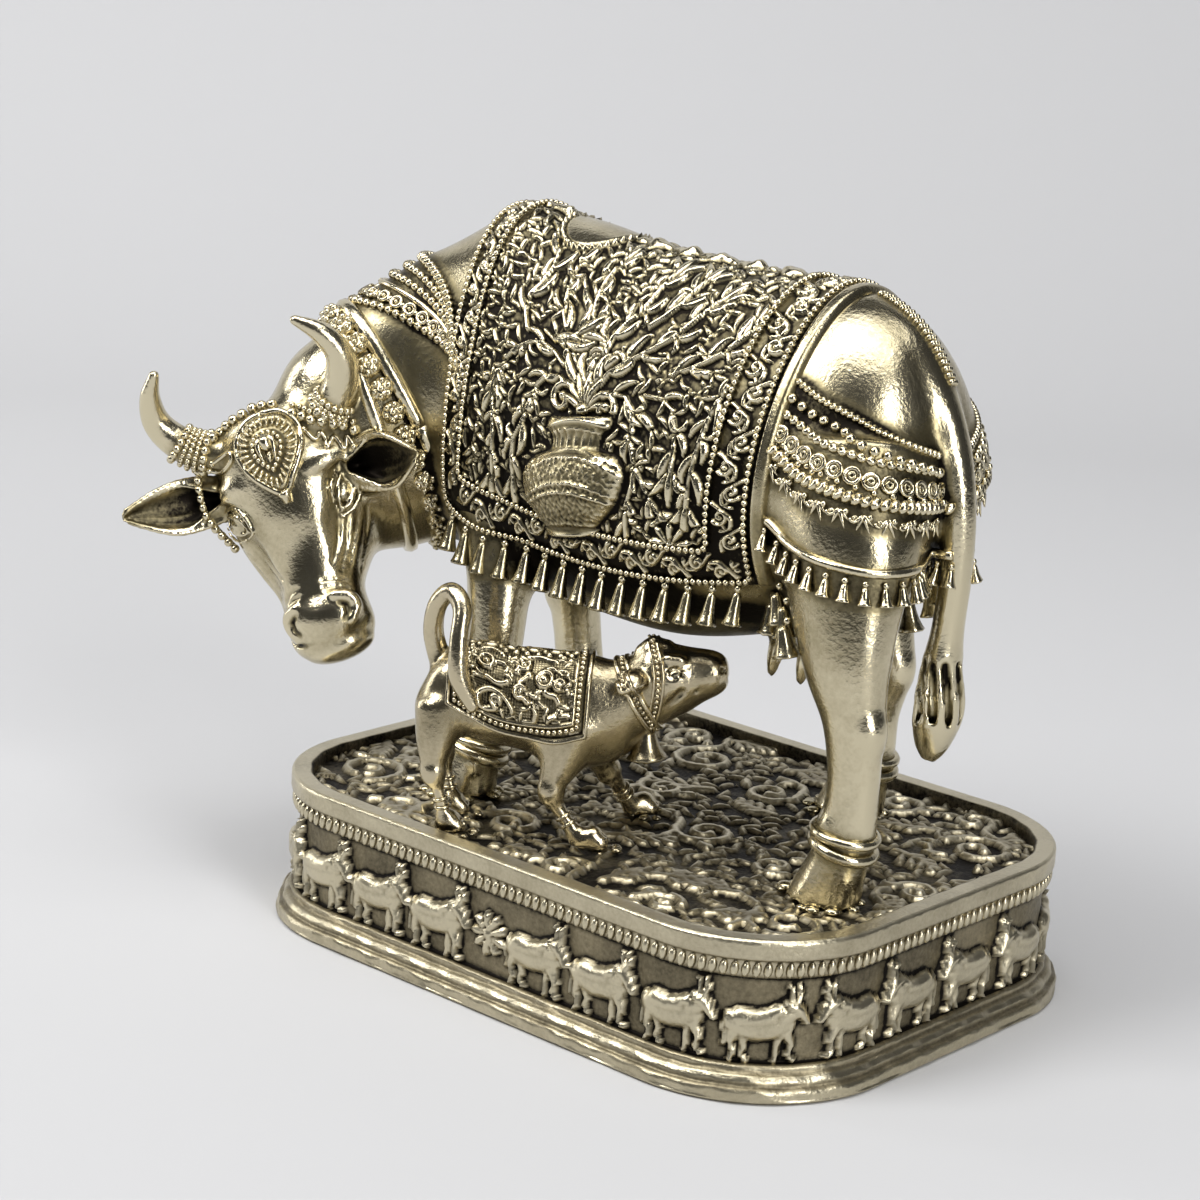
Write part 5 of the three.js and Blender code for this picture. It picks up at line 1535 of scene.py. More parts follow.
def add_rosette(parts, place, normal, radius, wear):
    """A round flower boss: a ring of small beads round a larger one."""
    first = unit(np.cross(normal, [0.2, 0.5, 0.8]))
    axes = np.array([first, np.cross(normal, first), normal])
    parts.add(place + (BALL_POINTS * [radius, radius, 0.6 * radius]) @ axes, BALL_FACES, wear)
    for step in aim(2 * np.pi * np.arange(6) / 6):
        spot = place + 0.62 * radius * step @ axes[:2] + 0.42 * radius * normal
        add_beads(parts, [spot], 0.3 * radius, wear, small=True)
    add_beads(parts, [place + 0.62 * radius * normal], 0.26 * radius, wear, small=True)


def add_neck_collar(parts):
    """Two plain rims round the neck, and a row of flower bosses between them."""
    neck = Field((-88, -54, 38), (-30, 20, 118), 0.8)
    neck.join_tube(NECK, NECK_ACROSS, 1)
    for share, radius in ((0.485, 1.4), (0.605, 1.3)):
        points, out = section_ring(NECK, NECK_ACROSS, share, np.linspace(0, 2 * np.pi, 97))
        places, normals = land_along(neck, points, out, 0.55)
        add_cord(parts, places, radius, 0.8, sides=8, flatten=0.8, normals=normals)
    points, out = section_ring(NECK, NECK_ACROSS, SEAM_SHARE, np.linspace(0, 2 * np.pi, 200))
    for place, normal in spots_along(*land_along(neck, points, out, 0.8), 4.4)[:-1]:
        add_rosette(parts, place, normal, 2.2, 0.72)


# How much further back and down the strands reach on the far side, where the neck is bent the other way.
FAR_STRANDS = (0.127, 0.5)


# Strands of the nape: share of the neck where each starts and ends, how far it sweeps round, and its kind.
STRANDS = [
    (0.46, 0.208, 1.4, "beads"), (0.425, 0.20, 1.35, "rings"), (0.385, 0.194, 1.3, "cord"),
    (0.35, 0.19, 1.22, "beads"), (0.31, 0.183, 1.16, "beads"), (0.27, 0.175, 1.1, "rope"),
]


def add_strand(parts, places, normals, kind):
    if kind == "beads":
        add_beads(parts, thread(places, 1.5), 0.8, 0.85, small=True)
    elif kind == "rope":
        add_rope(parts, places, normals, 0.85, 1.2, 0.75)
    elif kind == "cord":
        add_cord(parts, places, 0.55, 0.8, normals=normals)
    else:
        for place, normal in spots_along(places, normals, 2.9):
            add_ring(parts, place + 0.2 * normal, normal, 0.95, 0.42, 0.8)
            add_beads(parts, [place + 0.3 * normal], 0.42, 0.8, small=True)
            beside = np.cross(normal, [0.3, 0.3, 0.9])
            add_beads(parts, [place + 1.5 * beside, place - 1.5 * beside], 0.55, 0.8, small=True)


def add_nape_strands(parts, field):
    """Six strands that hang from the nape to the front of the cloth, on either side."""
    swing = np.linspace(0, 1, 40)
    top = math.pi / 2
    for facing in (-1, 1):
        for start, end, sweep, kind in STRANDS:
            tip, _ = section_ring(NECK, NECK_ACROSS, end, np.full(2, top - facing * sweep))
            further, lower = FAR_STRANDS if tip[0, 1] > 0 else (0.0, 0.0)
            share = start + (end - further - start) * swing ** 1.6
            turn = top - facing * (sweep + lower) * swing
            places, normals = land_along(field, *section_ring(NECK, NECK_ACROSS, share, turn), 0.35)
            add_strand(parts, places, normals, kind)


# Lines of the straps over a haunch, as (x, z) places from the cloth to the rump.
UPPER_STRAP = [(29.8, 103.8), (36.3, 100.8), (41.8, 98.3), (45.7, 96.0), (48.2, 94.4)]
MIDDLE_STRAP = [(29.6, 98.9), (37.0, 95.9), (44.3, 93.6), (48.6, 91.8)]
THICK_STRAP = [(28.9, 93.4), (35.1, 90.4), (43.0, 88.2), (47.9, 86.8), (50.0, 86.2)]
LOWER_STRAP = [(28.8, 82.6), (33.0, 80.6), (37.2, 79.2), (42.9, 78.2), (47.5, 78.2), (50.6, 78.8)]
# Spikes of one cluster that hangs from the thick strap: lean and length.
SPIKES = ((-0.9, 2.3), (-0.35, 3.2), (0.35, 2.6), (0.9, 2.0))


def add_cluster(parts, place, normal):
    """Spikes, a scroll and a bead that hang together from the thick strap."""
    across = unit(np.cross(normal, [0, 0, 1.0]))
    for lean, length in SPIKES:
        add_spike(parts, place, lean * across - [0, 0, 0.9] + 0.15 * normal, length, 0.42)
    add_scroll(parts, place + 1.3 * across - [0, 0, 0.5], normal, across, 0.75, 0.9, 0.3)
    add_beads(parts, [place - 1.1 * across - [0, 0, 0.3]], 0.55, 0.8, small=True)


def add_haunch_bands(parts, field, side):
    """The straps over a haunch, from the upper rope down to the lower line with its bells."""
    def laid(line, drop, lift):
        return land_round(field, [(x, z - drop) for x, z in line], side, lift)

    add_rope(parts, *laid(UPPER_STRAP, 0, 0.2), 0.62, 1.0)
    places, _ = laid(UPPER_STRAP, 2.5, 0.35)
    add_beads(parts, thread(places, 2.2), 0.88, 0.85)
    add_rope(parts, *laid(MIDDLE_STRAP, 0, 0.15), 0.7, 1.6)
    for place, normal in spots_along(*laid(MIDDLE_STRAP, 2.9, 0.3), 3.0):
        add_ring(parts, place, normal, 1.2, 0.42, 0.8)
        add_ring(parts, place + 0.1 * normal, normal, 0.5, 0.3, 0.6, around=8)
        for lean in (-0.8, 0.8):
            add_beads(parts, [place + [lean, 0, -1.7]], 0.62, 0.8, small=True)
    add_rope(parts, *laid(THICK_STRAP, 0, 0.35), 1.05, 1.5, 0.8)
    for place, normal in spots_along(*laid(THICK_STRAP[:-1], 2.0, 0.35), 4.0):
        add_cluster(parts, place, normal)
    places, normals = laid(LOWER_STRAP, 0, 0.2)
    add_cord(parts, places, 0.8, 0.85, normals=normals)
    for place, normal in spots_along(*laid(LOWER_STRAP, 1.7, 0.5), 3.1):
        add_beads(parts, [place], 0.6, 0.8, small=True)
        add_bell(parts, place - [0, 0, 0.4], [0, 0, -1.0] + 0.25 * normal, 2.9, 1.15, 0.78)


# Bells below the cloth's rear corner: place along the cow and height of each.
CORNER_BELLS = [(27.6, 69.4), (30.4, 71.6), (32.8, 69.6), (35.0, 67.4), (30.0, 66.4)]


def add_corner_bells(parts, field, side):
    for n, (x, z) in enumerate(CORNER_BELLS):
        places, normals = land_round(field, [(x, z), (x + 0.5, z)], side, 0.8)
        way = np.array([0.25 if n else 0.0, 0, -1.0])
        add_beads(parts, [places[0] + [0, 0, 0.6]], 0.7, 0.8, small=True)
        add_bell(parts, places[0] + 0.8 * normals[0], way, 5.0, 2.1, 0.8, pleated=True)


def add_spine_ridge(parts, field):
    """Three rows of small beads over the croup, from the cloth to the root of the tail."""
    x = np.linspace(31.5, 46, 40)
    rough = np.stack(np.broadcast_arrays(x, MIDDLE_Y + 1.5, 128.0), -1)
    places, normals = settle(field, rough, np.array([0.0, 0, -1]), 0)
    for shift in (-0.9, 0.0, 0.9):
        moved, _ = land_along(field, places + [0, shift, 0], normals, 0.2, 1.0)
        add_beads(parts, thread(moved, 1.15), 0.58, 0.7, small=True)


def add_anklets(parts, field):
    """Two cords round every leg, above the hoof."""
    for stations in LEGS.values():
        last = len(stations) - 1
        for back, radius in ((1.85, 0.8), (1.42, 1.05)):
            add_hoop(parts, field, stations, (last - back) / last, 41, radius, 0.72, 10, 0.3)


# Outline of the forehead's plate: left and down from its middle.
TEARDROP = [(0, -2.2), (2.8, -1.7), (4.8, 0.4), (5.4, 3.2), (4.4, 6.4), (2.4, 9.2), (0.2, 11.6)]
TEARDROP += [(-left, down) for left, down in TEARDROP[-2::-1]]
BROW_MIDDLE = 0.8


def on_brow(field, flat, lift):
    """Places on the forehead given as (left, down) in the head's frame."""
    left, down = np.asarray(flat, float).T
    return settle(field, head_spot(left, down, 6.0), -HEAD_OUT, lift)


def add_forehead_ornament(parts, field):
    """The teardrop plate: corded rim, a ring of bars, a ring of grains, a leaf and a drop below."""
    centre = np.array([BROW_MIDDLE, 0.0])

    def shrunk(scale, down, pitch):
        return thread(path(np.array(TEARDROP) * scale + [0, down], 5) + centre, pitch)[:-1]

    places, normals = on_brow(field, path(TEARDROP, 4) + centre, 0.3)
    add_cord(parts, places, 0.62, 0.8, normals=normals)
    middle, _ = on_brow(field, [centre + [0, 4.2]], 0.3)
    for place, normal in zip(*on_brow(field, shrunk([0.76, 0.78], 0.8, 1.05), 0.3)):
        way = unit(place - middle[0])
        axes = np.array([way, np.cross(normal, way), normal])
        parts.add(place + (BALL_POINTS * [1.1, 0.34, 0.6]) @ axes, BALL_FACES, 0.85)
    grains, _ = on_brow(field, shrunk([0.46, 0.48], 2.0, 1.0), 0.4)
    add_beads(parts, grains, 0.48, 0.85, small=True)
    for lean, wide in ((-0.5, 0.55), (0.5, 0.55), (0.0, 1.0)):
        leaf = [centre + [0, 1.0], centre + [2.6 * lean, 3.2], centre + [1.8 * lean, 6.2]]
        places, normals = on_brow(field, path(leaf, 4), 0.5)
        thick = wide * np.array([0.4, 0.8, 1.0, 1.1, 1.0, 0.85, 0.65, 0.4, 0.12])
        add_cord(parts, places, thick, 0.95, normals=normals)
    drop, normals = on_brow(field, centre + [(0.2, 11.2), (0.3, 12.4), (0.3, 13.6)], 0.35)
    add_cord(parts, drop, [1.2, 1.0, 0.7], 0.85, normals=normals)


# Beaded bands at the foot of the horns, and the hooked wires below them: left and down.
CROWN_LEFT = [(-9.6, -1.4), (-6.4, -2.6), (-3.0, -3.3), (-0.8, -3.7), (2.6, -3.1)]
CROWN_RIGHT = [(5.6, -0.6), (7.6, 0.6), (9.4, 1.8), (11.4, 2.8), (13.0, 4.0), (14.4, 5.4)]
HOOKS_RIGHT = [
    (7.0, 2.6), (8.0, 4.8), (9.4, 3.9), (9.6, 6.9), (10.9, 5.2), (11.8, 8.0), (12.8, 6.0), (13.6, 8.2),
]
HOOKS_LEFT = [(-12.0, 3.2), (-9.6, 4.4), (-6.8, 3.4), (-6.6, 1.9), (-8.4, 2.0), (-10.8, 2.4)]
# Strap that runs down from the horn in front of the ear: left, down and out.
HALTER = [
    (-14.2, 2.6, -3.6), (-15.2, 5.4, -3.6), (-15.8, 8.6, -4.0), (-15.8, 11.2, -4.6), (-15.2, 13.6, -5.4),
    (-13.8, 17.2, -6.6),
]
# Rings of beads round the foot of a horn: place along the horn and bead radius.
HORN_RINGS = {
    -1: [(1.12, 0.85), (1.36, 0.5), (1.56, 0.55), (1.76, 0.5), (2.02, 0.75)],
    1: [(1.0, 0.8), (1.18, 0.45), (1.36, 0.65)],
}


def add_horn_ring(parts, side, along, radius):
    here, ahead = (smooth(np.arange(6), np.array(horn(side)), np.array(k)) for k in (along, along + 0.05))
    tangent = unit(ahead[:3] - here[:3])
    first = unit(np.cross(tangent, HEAD_OUT))
    out = aim(np.linspace(0, 2 * np.pi, 33)) @ np.array([first, np.cross(tangent, first)])
    ring = here[:3] + (here[3] + 0.25) * out
    add_beads(parts, thread(ring, 1.85 * radius)[:-1], radius, 0.75)


def add_head_beads(parts, field):
    """Beaded bands, hooked wires, the halter's strap and the rings round the horns."""
    for band in (CROWN_LEFT, CROWN_RIGHT):
        places, _ = on_brow(field, path(band, 6), 0.45)
        add_beads(parts, thread(places, 1.95), 0.95, 0.85)
    row, _ = on_brow(field, path(CROWN_RIGHT, 6) + [0.3, -1.3], 0.5)
    add_beads(parts, thread(row, 1.4), 0.62, 0.8, small=True)
    for hooks in (HOOKS_RIGHT, HOOKS_LEFT):
        places, normals = on_brow(field, path(hooks, 4), 0.2)
        add_cord(parts, places, 0.45, 0.85, normals=normals)
        add_beads(parts, places[[0, -1]], 0.6, 0.85, small=True)
    places = head_spot(*path(HALTER, 6).T)
    sunk = np.maximum(0.3 - field.distance(places), 0)
    places = places + sunk[:, None] * field.normal(places)
    add_beads(parts, thread(places, 1.6), 0.8, 0.75)
    add_cord(parts, places - 0.7 * HEAD_OUT, 0.5, 0.6)
    for side, rings in HORN_RINGS.items():
        for along, radius in rings:
            add_horn_ring(parts, side, along, radius)


def add_lumps(parts, middle, reach, count, sizes, flat):
    """Small lumps of solder round a foot, where it meets the plinth."""
    for _ in range(count):
        angle = rng.uniform(0, 2 * np.pi)
        size = rng.uniform(*sizes)
        place = np.array(middle) + [*(reach * aim(angle)), 0]
        parts.add(place + BALL_POINTS * size * [1.3, 1.1, flat], BALL_FACES, 0.6)


def add_solder(parts):
    for x, y in HOOFS.values():
        add_lumps(parts, (x - 0.4, y, FOOT - 0.2), (6.6, 5.8), 16, (0.5, 1.3), 0.6)


# Calf, in its own frame: along its back, across to its far side, and up.
CALF_TURN = math.radians(36)
CALF_PLACE = np.array([-7.9, -27.0, 0])
CALF_TRUNK = np.array([
    (-16.9, 0, 50, 3, 3.2), (-14.6, 0, 49, 5.4, 6), (-8, 0, 47, 6.6, 7.8), (-0.5, 0, 46.2, 6.8, 8.2),
    (6.5, 0, 45.2, 6.6, 9.2), (11.8, 0, 45.6, 5.8, 9), (15.8, 0, 46.6, 4.4, 6.4),
])
CALF_NECK = [(9, 0, 46, 5, 8), (14, 0, 47.2, 4.8, 7), (18, 0, 49.3, 4.4, 6.2), (21, 0, 51.2, 3.8, 5)]
CALF_HEAD = [
    (16.4, 0, 51, 2.8, 4.6), (19, 0, 51.2, 4.8, 6.7), (23, 0, 52, 5.0, 6.2), (27, 0, 53.1, 3.9, 4.6),
    (30, 0, 53.7, 3.5, 3.7), (31.8, 0, 53.9, 2.2, 2.5),
]
CALF_LEGS = [
    [(-14.5, -3.5, 46, 4, 4.4), (-14.8, -5, 39, 3, 3.4), (-14.8, -5.6, 34.5, 1.8, 2.1),
     (-13.2, -5.6, 29.5, 1.5, 1.6), (-12.4, -4.6, 23.5, 2.2, 2.4)],
    [(-14.5, 3.5, 46, 4, 4.4), (-15, 5, 39, 3, 3.4), (-15, 5.2, 34.5, 1.8, 2.1),
     (-13.6, 5, 29.5, 1.5, 1.6), (-13, 4.6, 23.5, 2.4, 2.6)],
    [(7, -3.5, 44, 4, 5), (6, -5, 38, 3, 3.6), (4.6, -5.8, 33, 2.1, 2.2),
     (7.4, -6.2, 28.6, 1.6, 1.6), (11.4, -6.6, 23.5, 2.3, 2.8)],
    [(8, 3.5, 44, 4, 5), (10, 5.5, 38, 3, 3.6), (12.5, 8, 33, 2.1, 2.2),
     (15, 10.6, 28.6, 1.7, 1.7), (18, 13, 23.5, 2.3, 2.8)],
]
CALF_TAIL = [
    (-15, 0, 51, 1.9, 1.9), (-16.6, 0, 56.5, 1.7, 1.7), (-16, -0.6, 61.4, 1.6, 1.6),
    (-13.6, -2, 64, 1.6, 1.6), (-11.4, -4.4, 62, 1.6, 1.6), (-11.4, -6.6, 57, 1.6, 1.6),
    (-11, -7.4, 51.5, 1.7, 1.5), (-8.6, -7.4, 46.8, 1.2, 1.0),
]
CALF_EAR = [(18.6, 3.4, 53, 1.0, 1.4), (16.8, 5.6, 52.6, 1.3, 1.9), (14.8, 7.6, 51.2, 0.5, 0.8)]


def to_calf_place(points):
    c, s = math.cos(CALF_TURN), math.sin(CALF_TURN)
    return np.asarray(points) @ np.array([[c, s, 0], [-s, c, 0], [0, 0, 1]]) + CALF_PLACE


def add_calf_face(field, side):
    """Ear, eye, brow, nostril, mouth and cheek on one side of the calf's head."""
    ear = [(x, side * y, z, wide, deep) for x, y, z, wide, deep in CALF_EAR]
    field.join_tube(ear, np.array([0.6, 0, 1.0]), 0.5)
    # Both cuts lie on the far side: the first is made before the far ear is joined, the second into it.
    hollow = [(x + 0.2, y + side * 0.9, z + 0.5) for x, y, z, _, _ in CALF_EAR]
    field.rod(hollow, [0.4, 0.9, 0.25], 0.25, cut=True)
    eye = np.array([23.4, side * 4.0, 53.9])
    field.ball(eye, (1.5, 1.0, 1.1), np.eye(3), 0.5, cut=True)
    field.ball(eye - [0, side * 0.25, 0], (0.95, 0.8, 0.8), np.eye(3), 0.1)
    for lift in (-1, 1):
        lid = [(21.8, side * 4.5, 53.8), (23.4, side * 4.75, 53.9 + lift * 1.0), (25.2, side * 3.9, 54.0)]
        field.rod(path(lid, 4), 0.26, 0.2)
    field.rod([(22.0, side * 3.6, 56.4), (24.2, side * 3.3, 56.2)], 0.6, 1.0)
    field.ball(np.array([29.8, side * 1.7, 54.4]), (1.5, 1.1, 1.2), np.eye(3), 0.7)
    field.rod([(30.9, side * 1.8, 54.6), (30.4, side * 2.5, 54.9)], [0.5, 0.3], 0.2, cut=True)
    mouth = [(31.6, side * 0.6, 52.8), (29.6, side * 2.4, 52.3), (26.4, side * 3.3, 51.2)]
    field.rod(path(mouth, 3), 0.25, 0.25, cut=True)
    field.rod([(24.5, side * 4.2, 51.2), (22.5, side * 4.8, 48.6)], [0.35, 0.5], 0.8, cut=True)


def make_calf_field():
    field = Field((-20, -11, 24), (34, 17, 68), CALF_CELL)
    for stations, blend in ((CALF_TRUNK, 1), (CALF_NECK, 2.5), (CALF_HEAD, 1.6)):
        field.join_tube(stations, ALONG_Y, blend)
    for stations in CALF_LEGS:
        field.join_tube(stations, ALONG_Y, 2.8, -0.2)
    field.values = blurred(field.values, 0.9 / field.cell)
    for stations in CALF_LEGS:
        x, y = stations[-1][:2]
        field.rod([(x + 0.5, y, 26.2), (x + 1.6, y - 0.2, 25.4)], [1.9, 1.7], 1.0)
        field.rod([(x + 2.0, y - 0.2, 27.2), (x + 3.6, y - 0.3, 24.4)], 0.25, 0.3, cut=True)
        field.ball(np.array(stations[2][:3]), (2.1, 2.1, 2.4), np.eye(3), 0.8)
    tail = path(CALF_TAIL, 6)
    field.rod(tail[:, :3], tail[:, 3], 0.6)
    for side in (-1, 1):
        add_calf_face(field, side)
    field.rod([(17.6, 0, 56.2), (19.4, 0, 57.6), (21.6, 0, 57.2), (23.4, 0, 56.4)], [1.2, 1.5, 1.4, 0.8], 0.8)
    for y in 0.7 * np.arange(5) - 1.4:
        field.rod([(18.4, y, 58.6), (21.2, y * 1.1, 58.6), (23.6, y * 0.8, 57.6)], 0.2, 0.3, cut=True)
    field.cut_below(FOOT)
    return field


CALF_CLOTH_LONG, CALF_CLOTH_ROUND = 23.6, 33.0
# Scrolls and bosses of one half of the calf's cloth, on its canvas; the other half mirrors them.
CALF_SCROLLS = [
    [(9.0, 4.2), (6.4, 3.4), (5.6, 5.4), (7.4, 6.8), (9.6, 6.2), (11.2, 4.4), (10.6, 2.9)],
    [(12.4, 3.0), (14.6, 2.9), (14.9, 5.0), (13.0, 6.4), (12.0, 8.6), (13.4, 10.2)],
    [(17.0, 3.4), (18.8, 4.4), (18.2, 6.6), (16.4, 7.4), (15.2, 9.4), (16.4, 11.4), (18.6, 11.0)],
    [(3.6, 5.8), (4.0, 8.0), (6.4, 8.6), (8.4, 8.0), (10.2, 8.8), (10.0, 11.0), (8.0, 11.6), (6.8, 10.4)],
    [(3.2, 10.6), (4.4, 13.4), (6.6, 14.6), (8.6, 13.6)],
    [(11.4, 10.6), (12.6, 13.2), (15.0, 13.8), (17.2, 13.0), (19.0, 14.4)],
]
CALF_BOSSES = [
    (6.2, 11.4, 1.2), (16.0, 9.6, 1.25), (12.2, 7.4, 0.95), (12.4, 12.0, 1.0), (8.4, 5.2, 0.8),
    (18.4, 8.6, 0.8),
]


def calf_cloth_spot(u, v, rise):
    along = u / CALF_CLOTH_LONG
    share = v / CALF_CLOTH_ROUND
    x = -13.4 + 23.6 * along
    drop = 0.25 + 0.3 * np.sin(np.pi * along) ** 2
    angle = (np.pi + drop) * (1 - share) - drop * share
    row = smooth(CALF_TRUNK[:, 0], CALF_TRUNK, x)
    wide, tall = row[..., 3] + rise, row[..., 4] + rise
    return np.stack(np.broadcast_arrays(x, wide * np.cos(angle), row[..., 2] + tall * np.sin(angle)), -1)


def calf_cloth_ground(u, v, field):
    """Places on the ground of the calf's cloth, and their normals."""
    return pushed_out(calf_cloth_spot(u, v, 0.6), calf_cloth_spot(u, v, 0.0), field, 0.45)


def calf_cloth_edge(u, v):
    """Distance to the nearest edge of the calf's cloth."""
    return np.minimum(np.minimum(u, CALF_CLOTH_LONG - u), np.minimum(v, CALF_CLOTH_ROUND - v))


def draw_calf_cloth():
    canvas = Canvas(CALF_CLOTH_LONG, CALF_CLOTH_ROUND, 16)
    middle = CALF_CLOTH_ROUND / 2
    for points in CALF_SCROLLS:
        line = path(points, 5)
        for mirrored in (line, np.column_stack([line[:, 0], CALF_CLOTH_ROUND - line[:, 1]])):
            canvas.stroke(mirrored, np.linspace(0.55, 0.4, len(mirrored)), 1.0)
            canvas.dot(*mirrored[0], 0.62, 1.0)
            canvas.dot(*mirrored[-1], 0.7, 1.0)
    for x, y, radius in CALF_BOSSES:
        for place in (y, CALF_CLOTH_ROUND - y):
            canvas.stroke([x, place] + radius * aim(2 * np.pi * np.arange(17) / 16), 0.36, 1.25)
            canvas.dot(x, place, radius * 0.55, 1.2)
    for x in np.arange(4.5, 20, 3.6):
        canvas.dot(x, middle, 0.9, 1.0)
        canvas.flower(x, middle, 6, 0, 0.8, 1.4, 0.45, 0.9, "round")
    fill_gaps(canvas, (3.2, 3.2), (CALF_CLOTH_LONG - 3.2, CALF_CLOTH_ROUND - 3.2), 2.6, 0.8, 0.22)
    u, v = canvas.grid()
    hatch = 0.28 * np.clip(np.sin(7.5 * (u + v)) * np.sin(7.5 * (u - v)) * 2, 0, 1)
    edge = calf_cloth_edge(u, v)
    inner = np.where(edge > 2.9, np.maximum(canvas.relief, hatch), 0)
    frame_lines = 0.95 * np.maximum(step_between(0.95, 0.6, edge), np.exp(-((edge - 2.55) / 0.28) ** 2))
    canvas.relief = np.maximum(inner, frame_lines).astype(np.float32)
    return canvas


def make_calf_cloth(canvas, field):
    columns, rows = int(CALF_CLOTH_LONG / CALF_CLOTH_CELL), int(CALF_CLOTH_ROUND / CALF_CLOTH_CELL)
    sides = np.linspace(0, CALF_CLOTH_LONG, columns), np.linspace(0, CALF_CLOTH_ROUND, rows)
    u, v = np.meshgrid(*sides, indexing="ij")
    ground, normal = calf_cloth_ground(u, v, field)
    high = canvas.height_at(u, v)
    tuck = 1.2 * step_between(0.22, 0, calf_cloth_edge(u, v))
    points = to_calf_place((ground + (0.62 * high - 0.35 - tuck)[..., None] * normal).reshape(-1, 3))
    wear = canvas.wear_at(u, v, 0.35, 0.44) - 0.05 * (high < 0.1)
    return make_object("calf_cloth", points, grid_faces(columns, rows)[:, ::-1], CALF_BRASS, wear.ravel())


# The calf's halter on its far side, from the poll down to the throat; the near side mirrors it.
CALF_HALTER = [(19.2, 1.2, 57.8), (20.4, 4.2, 55.4), (20.9, 5.0, 52.0), (20.6, 4.2, 48.4), (19.6, 1.6, 45.6)]


def add_calf_border(parts, field):
    """A row of beads between the two lines that frame the cloth."""
    inset = 1.75
    last_u, last_v = CALF_CLOTH_LONG - inset, CALF_CLOTH_ROUND - inset
    corners = [(inset, inset), (last_u, inset), (last_u, last_v), (inset, last_v), (inset, inset)]
    ground, normal = calf_cloth_ground(*thread(corners, 0.4).T, field)
    add_beads(parts, thread(ground - 0.05 * normal, 0.98)[:-1], 0.5, 0.82, small=True)


def add_calf_collar(parts, field):
    """Two cords round the neck with a row of beads between them."""
    for share, radius in ((0.56, 0.5), (0.7, 0.42)):
        add_hoop(parts, field, CALF_NECK, share, 49, radius, 0.75, 7, 0.25)
    points, out = section_ring(CALF_NECK, ALONG_Y, 0.63, np.linspace(0, 2 * np.pi, 49))
    places, _ = land_along(field, points, out, 0.2, 3)
    add_beads(parts, thread(places, 0.98)[:-1], 0.46, 0.7, small=True)


def add_calf_halter(parts, field, side):
    """A row of beads between two cords."""
    strap = path([(x, side * y, z) for x, y, z in CALF_HALTER], 8)
    outward = unit(strap * [0, 1, 1] - [0, 0, 52.0])
    places, normals = land_along(field, strap, outward, 0.2, 3)
    add_beads(parts, thread(places, 0.95), 0.45, 0.82, small=True)
    for shift in (-0.75, 0.75):
        add_cord(parts, places + [shift, 0, 0.1], 0.28, 0.7, normals=normals)


def add_calf_bell(parts):
    """A bell on a ring under the throat, with two lines round it."""
    add_ring(parts, np.array([18.6, 0, 44.6]), np.array([0, 1.0, 0]), 1.0, 0.4, 0.7)
    add_bell(parts, np.array([18.9, 0, 43.6]), (0.1, 0, -1.0), 5.4, 3.2, 0.62)
    for level, radius in ((41.2, 1.6), (39.9, 1.75)):
        x, y = radius * aim(np.linspace(0, 2 * np.pi, 49)).T
        add_cord(parts, np.column_stack([19.1 + x, y, 0 * x + level]), 0.22, 0.7, sides=5)


def make_calf_trim(field):
    parts = Parts()
    add_calf_border(parts, field)
    add_calf_collar(parts, field)
    for side in (-1, 1):
        add_calf_halter(parts, field, side)
    add_calf_bell(parts)
    for stations in CALF_LEGS:
        for share in (0.72, 0.78):
            add_hoop(parts, field, stations, share, 25, 0.36, 0.75, 6, 0.1, 2)
        x, y = stations[-1][:2]
        add_lumps(parts, (x + 1.4, y, FOOT - 0.1), (3.2, 2.8), 9, (0.3, 0.8), 0.7)
    parts.points = [to_calf_place(points) for points in parts.points]
    return parts.make("calf_trim", CALF_BRASS)


def make_calf():
    field = make_calf_field()
    points, quads, standing = field.surface(0.9)
    body = make_object("calf_body", to_calf_place(points), quads, CALF_BRASS, 0.6 + 0.7 * standing)
    return [body, make_calf_cloth(draw_calf_cloth(), field), make_calf_trim(field)]


# Assembly, stage, light and camera.

def dress(objects, node):
    for obj in objects:
        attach(obj, "root")
        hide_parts(node)


# Flat direction in which the camera looks, and the backdrop's shape: its near and far ends from the
# middle of the cow, its height, the radius of its bend and half its width.
BACKWARD = np.array([-0.6588, 0.7524])
STAGE_NEAR, STAGE_FAR, STAGE_RISE, STAGE_BEND, STAGE_HALF = -2600.0, 700.0, 900.0, 260.0, 2400.0


def make_stage():
    """A plain sheet that lies under the statue and bends up behind it."""
    plain = bpy.data.materials.new("backdrop")
    plain.use_nodes = True
    shader = plain.node_tree.nodes["Principled BSDF"]
    shader.inputs["Base Color"].default_value = (0.525, 0.525, 0.532, 1)
    shader.inputs["Roughness"].default_value = 0.9
    shader.inputs["Specular IOR Level"].default_value = 0.15
    turn = np.linspace(0, np.pi / 2, 13)
    bend = [STAGE_FAR, STAGE_BEND] + STAGE_BEND * np.column_stack([np.sin(turn) - 1, -np.cos(turn)])
    profile = [(STAGE_NEAR, 0), *bend, (STAGE_FAR, STAGE_RISE)]
    beside = np.array([BACKWARD[1], -BACKWARD[0]])
    rows = []
    for away, up in profile:
        for side in (-STAGE_HALF, STAGE_HALF):
            rows.append([*(away * BACKWARD + side * beside), up])
    faces = [[2 * i, 2 * i + 1, 2 * i + 3, 2 * i + 2] for i in range(len(profile) - 1)]
    floor = make_object("backdrop", rows, faces, plain)


def put_at(obj, place, axes):
    """Links an object at a place in millimetres, with its three axes."""
    bpy.context.scene.collection.objects.link(obj)
    rows = np.column_stack([*axes, np.asarray(place, float) * MM])
    obj.matrix_world = Matrix([*rows.tolist(), [0, 0, 0, 1]])


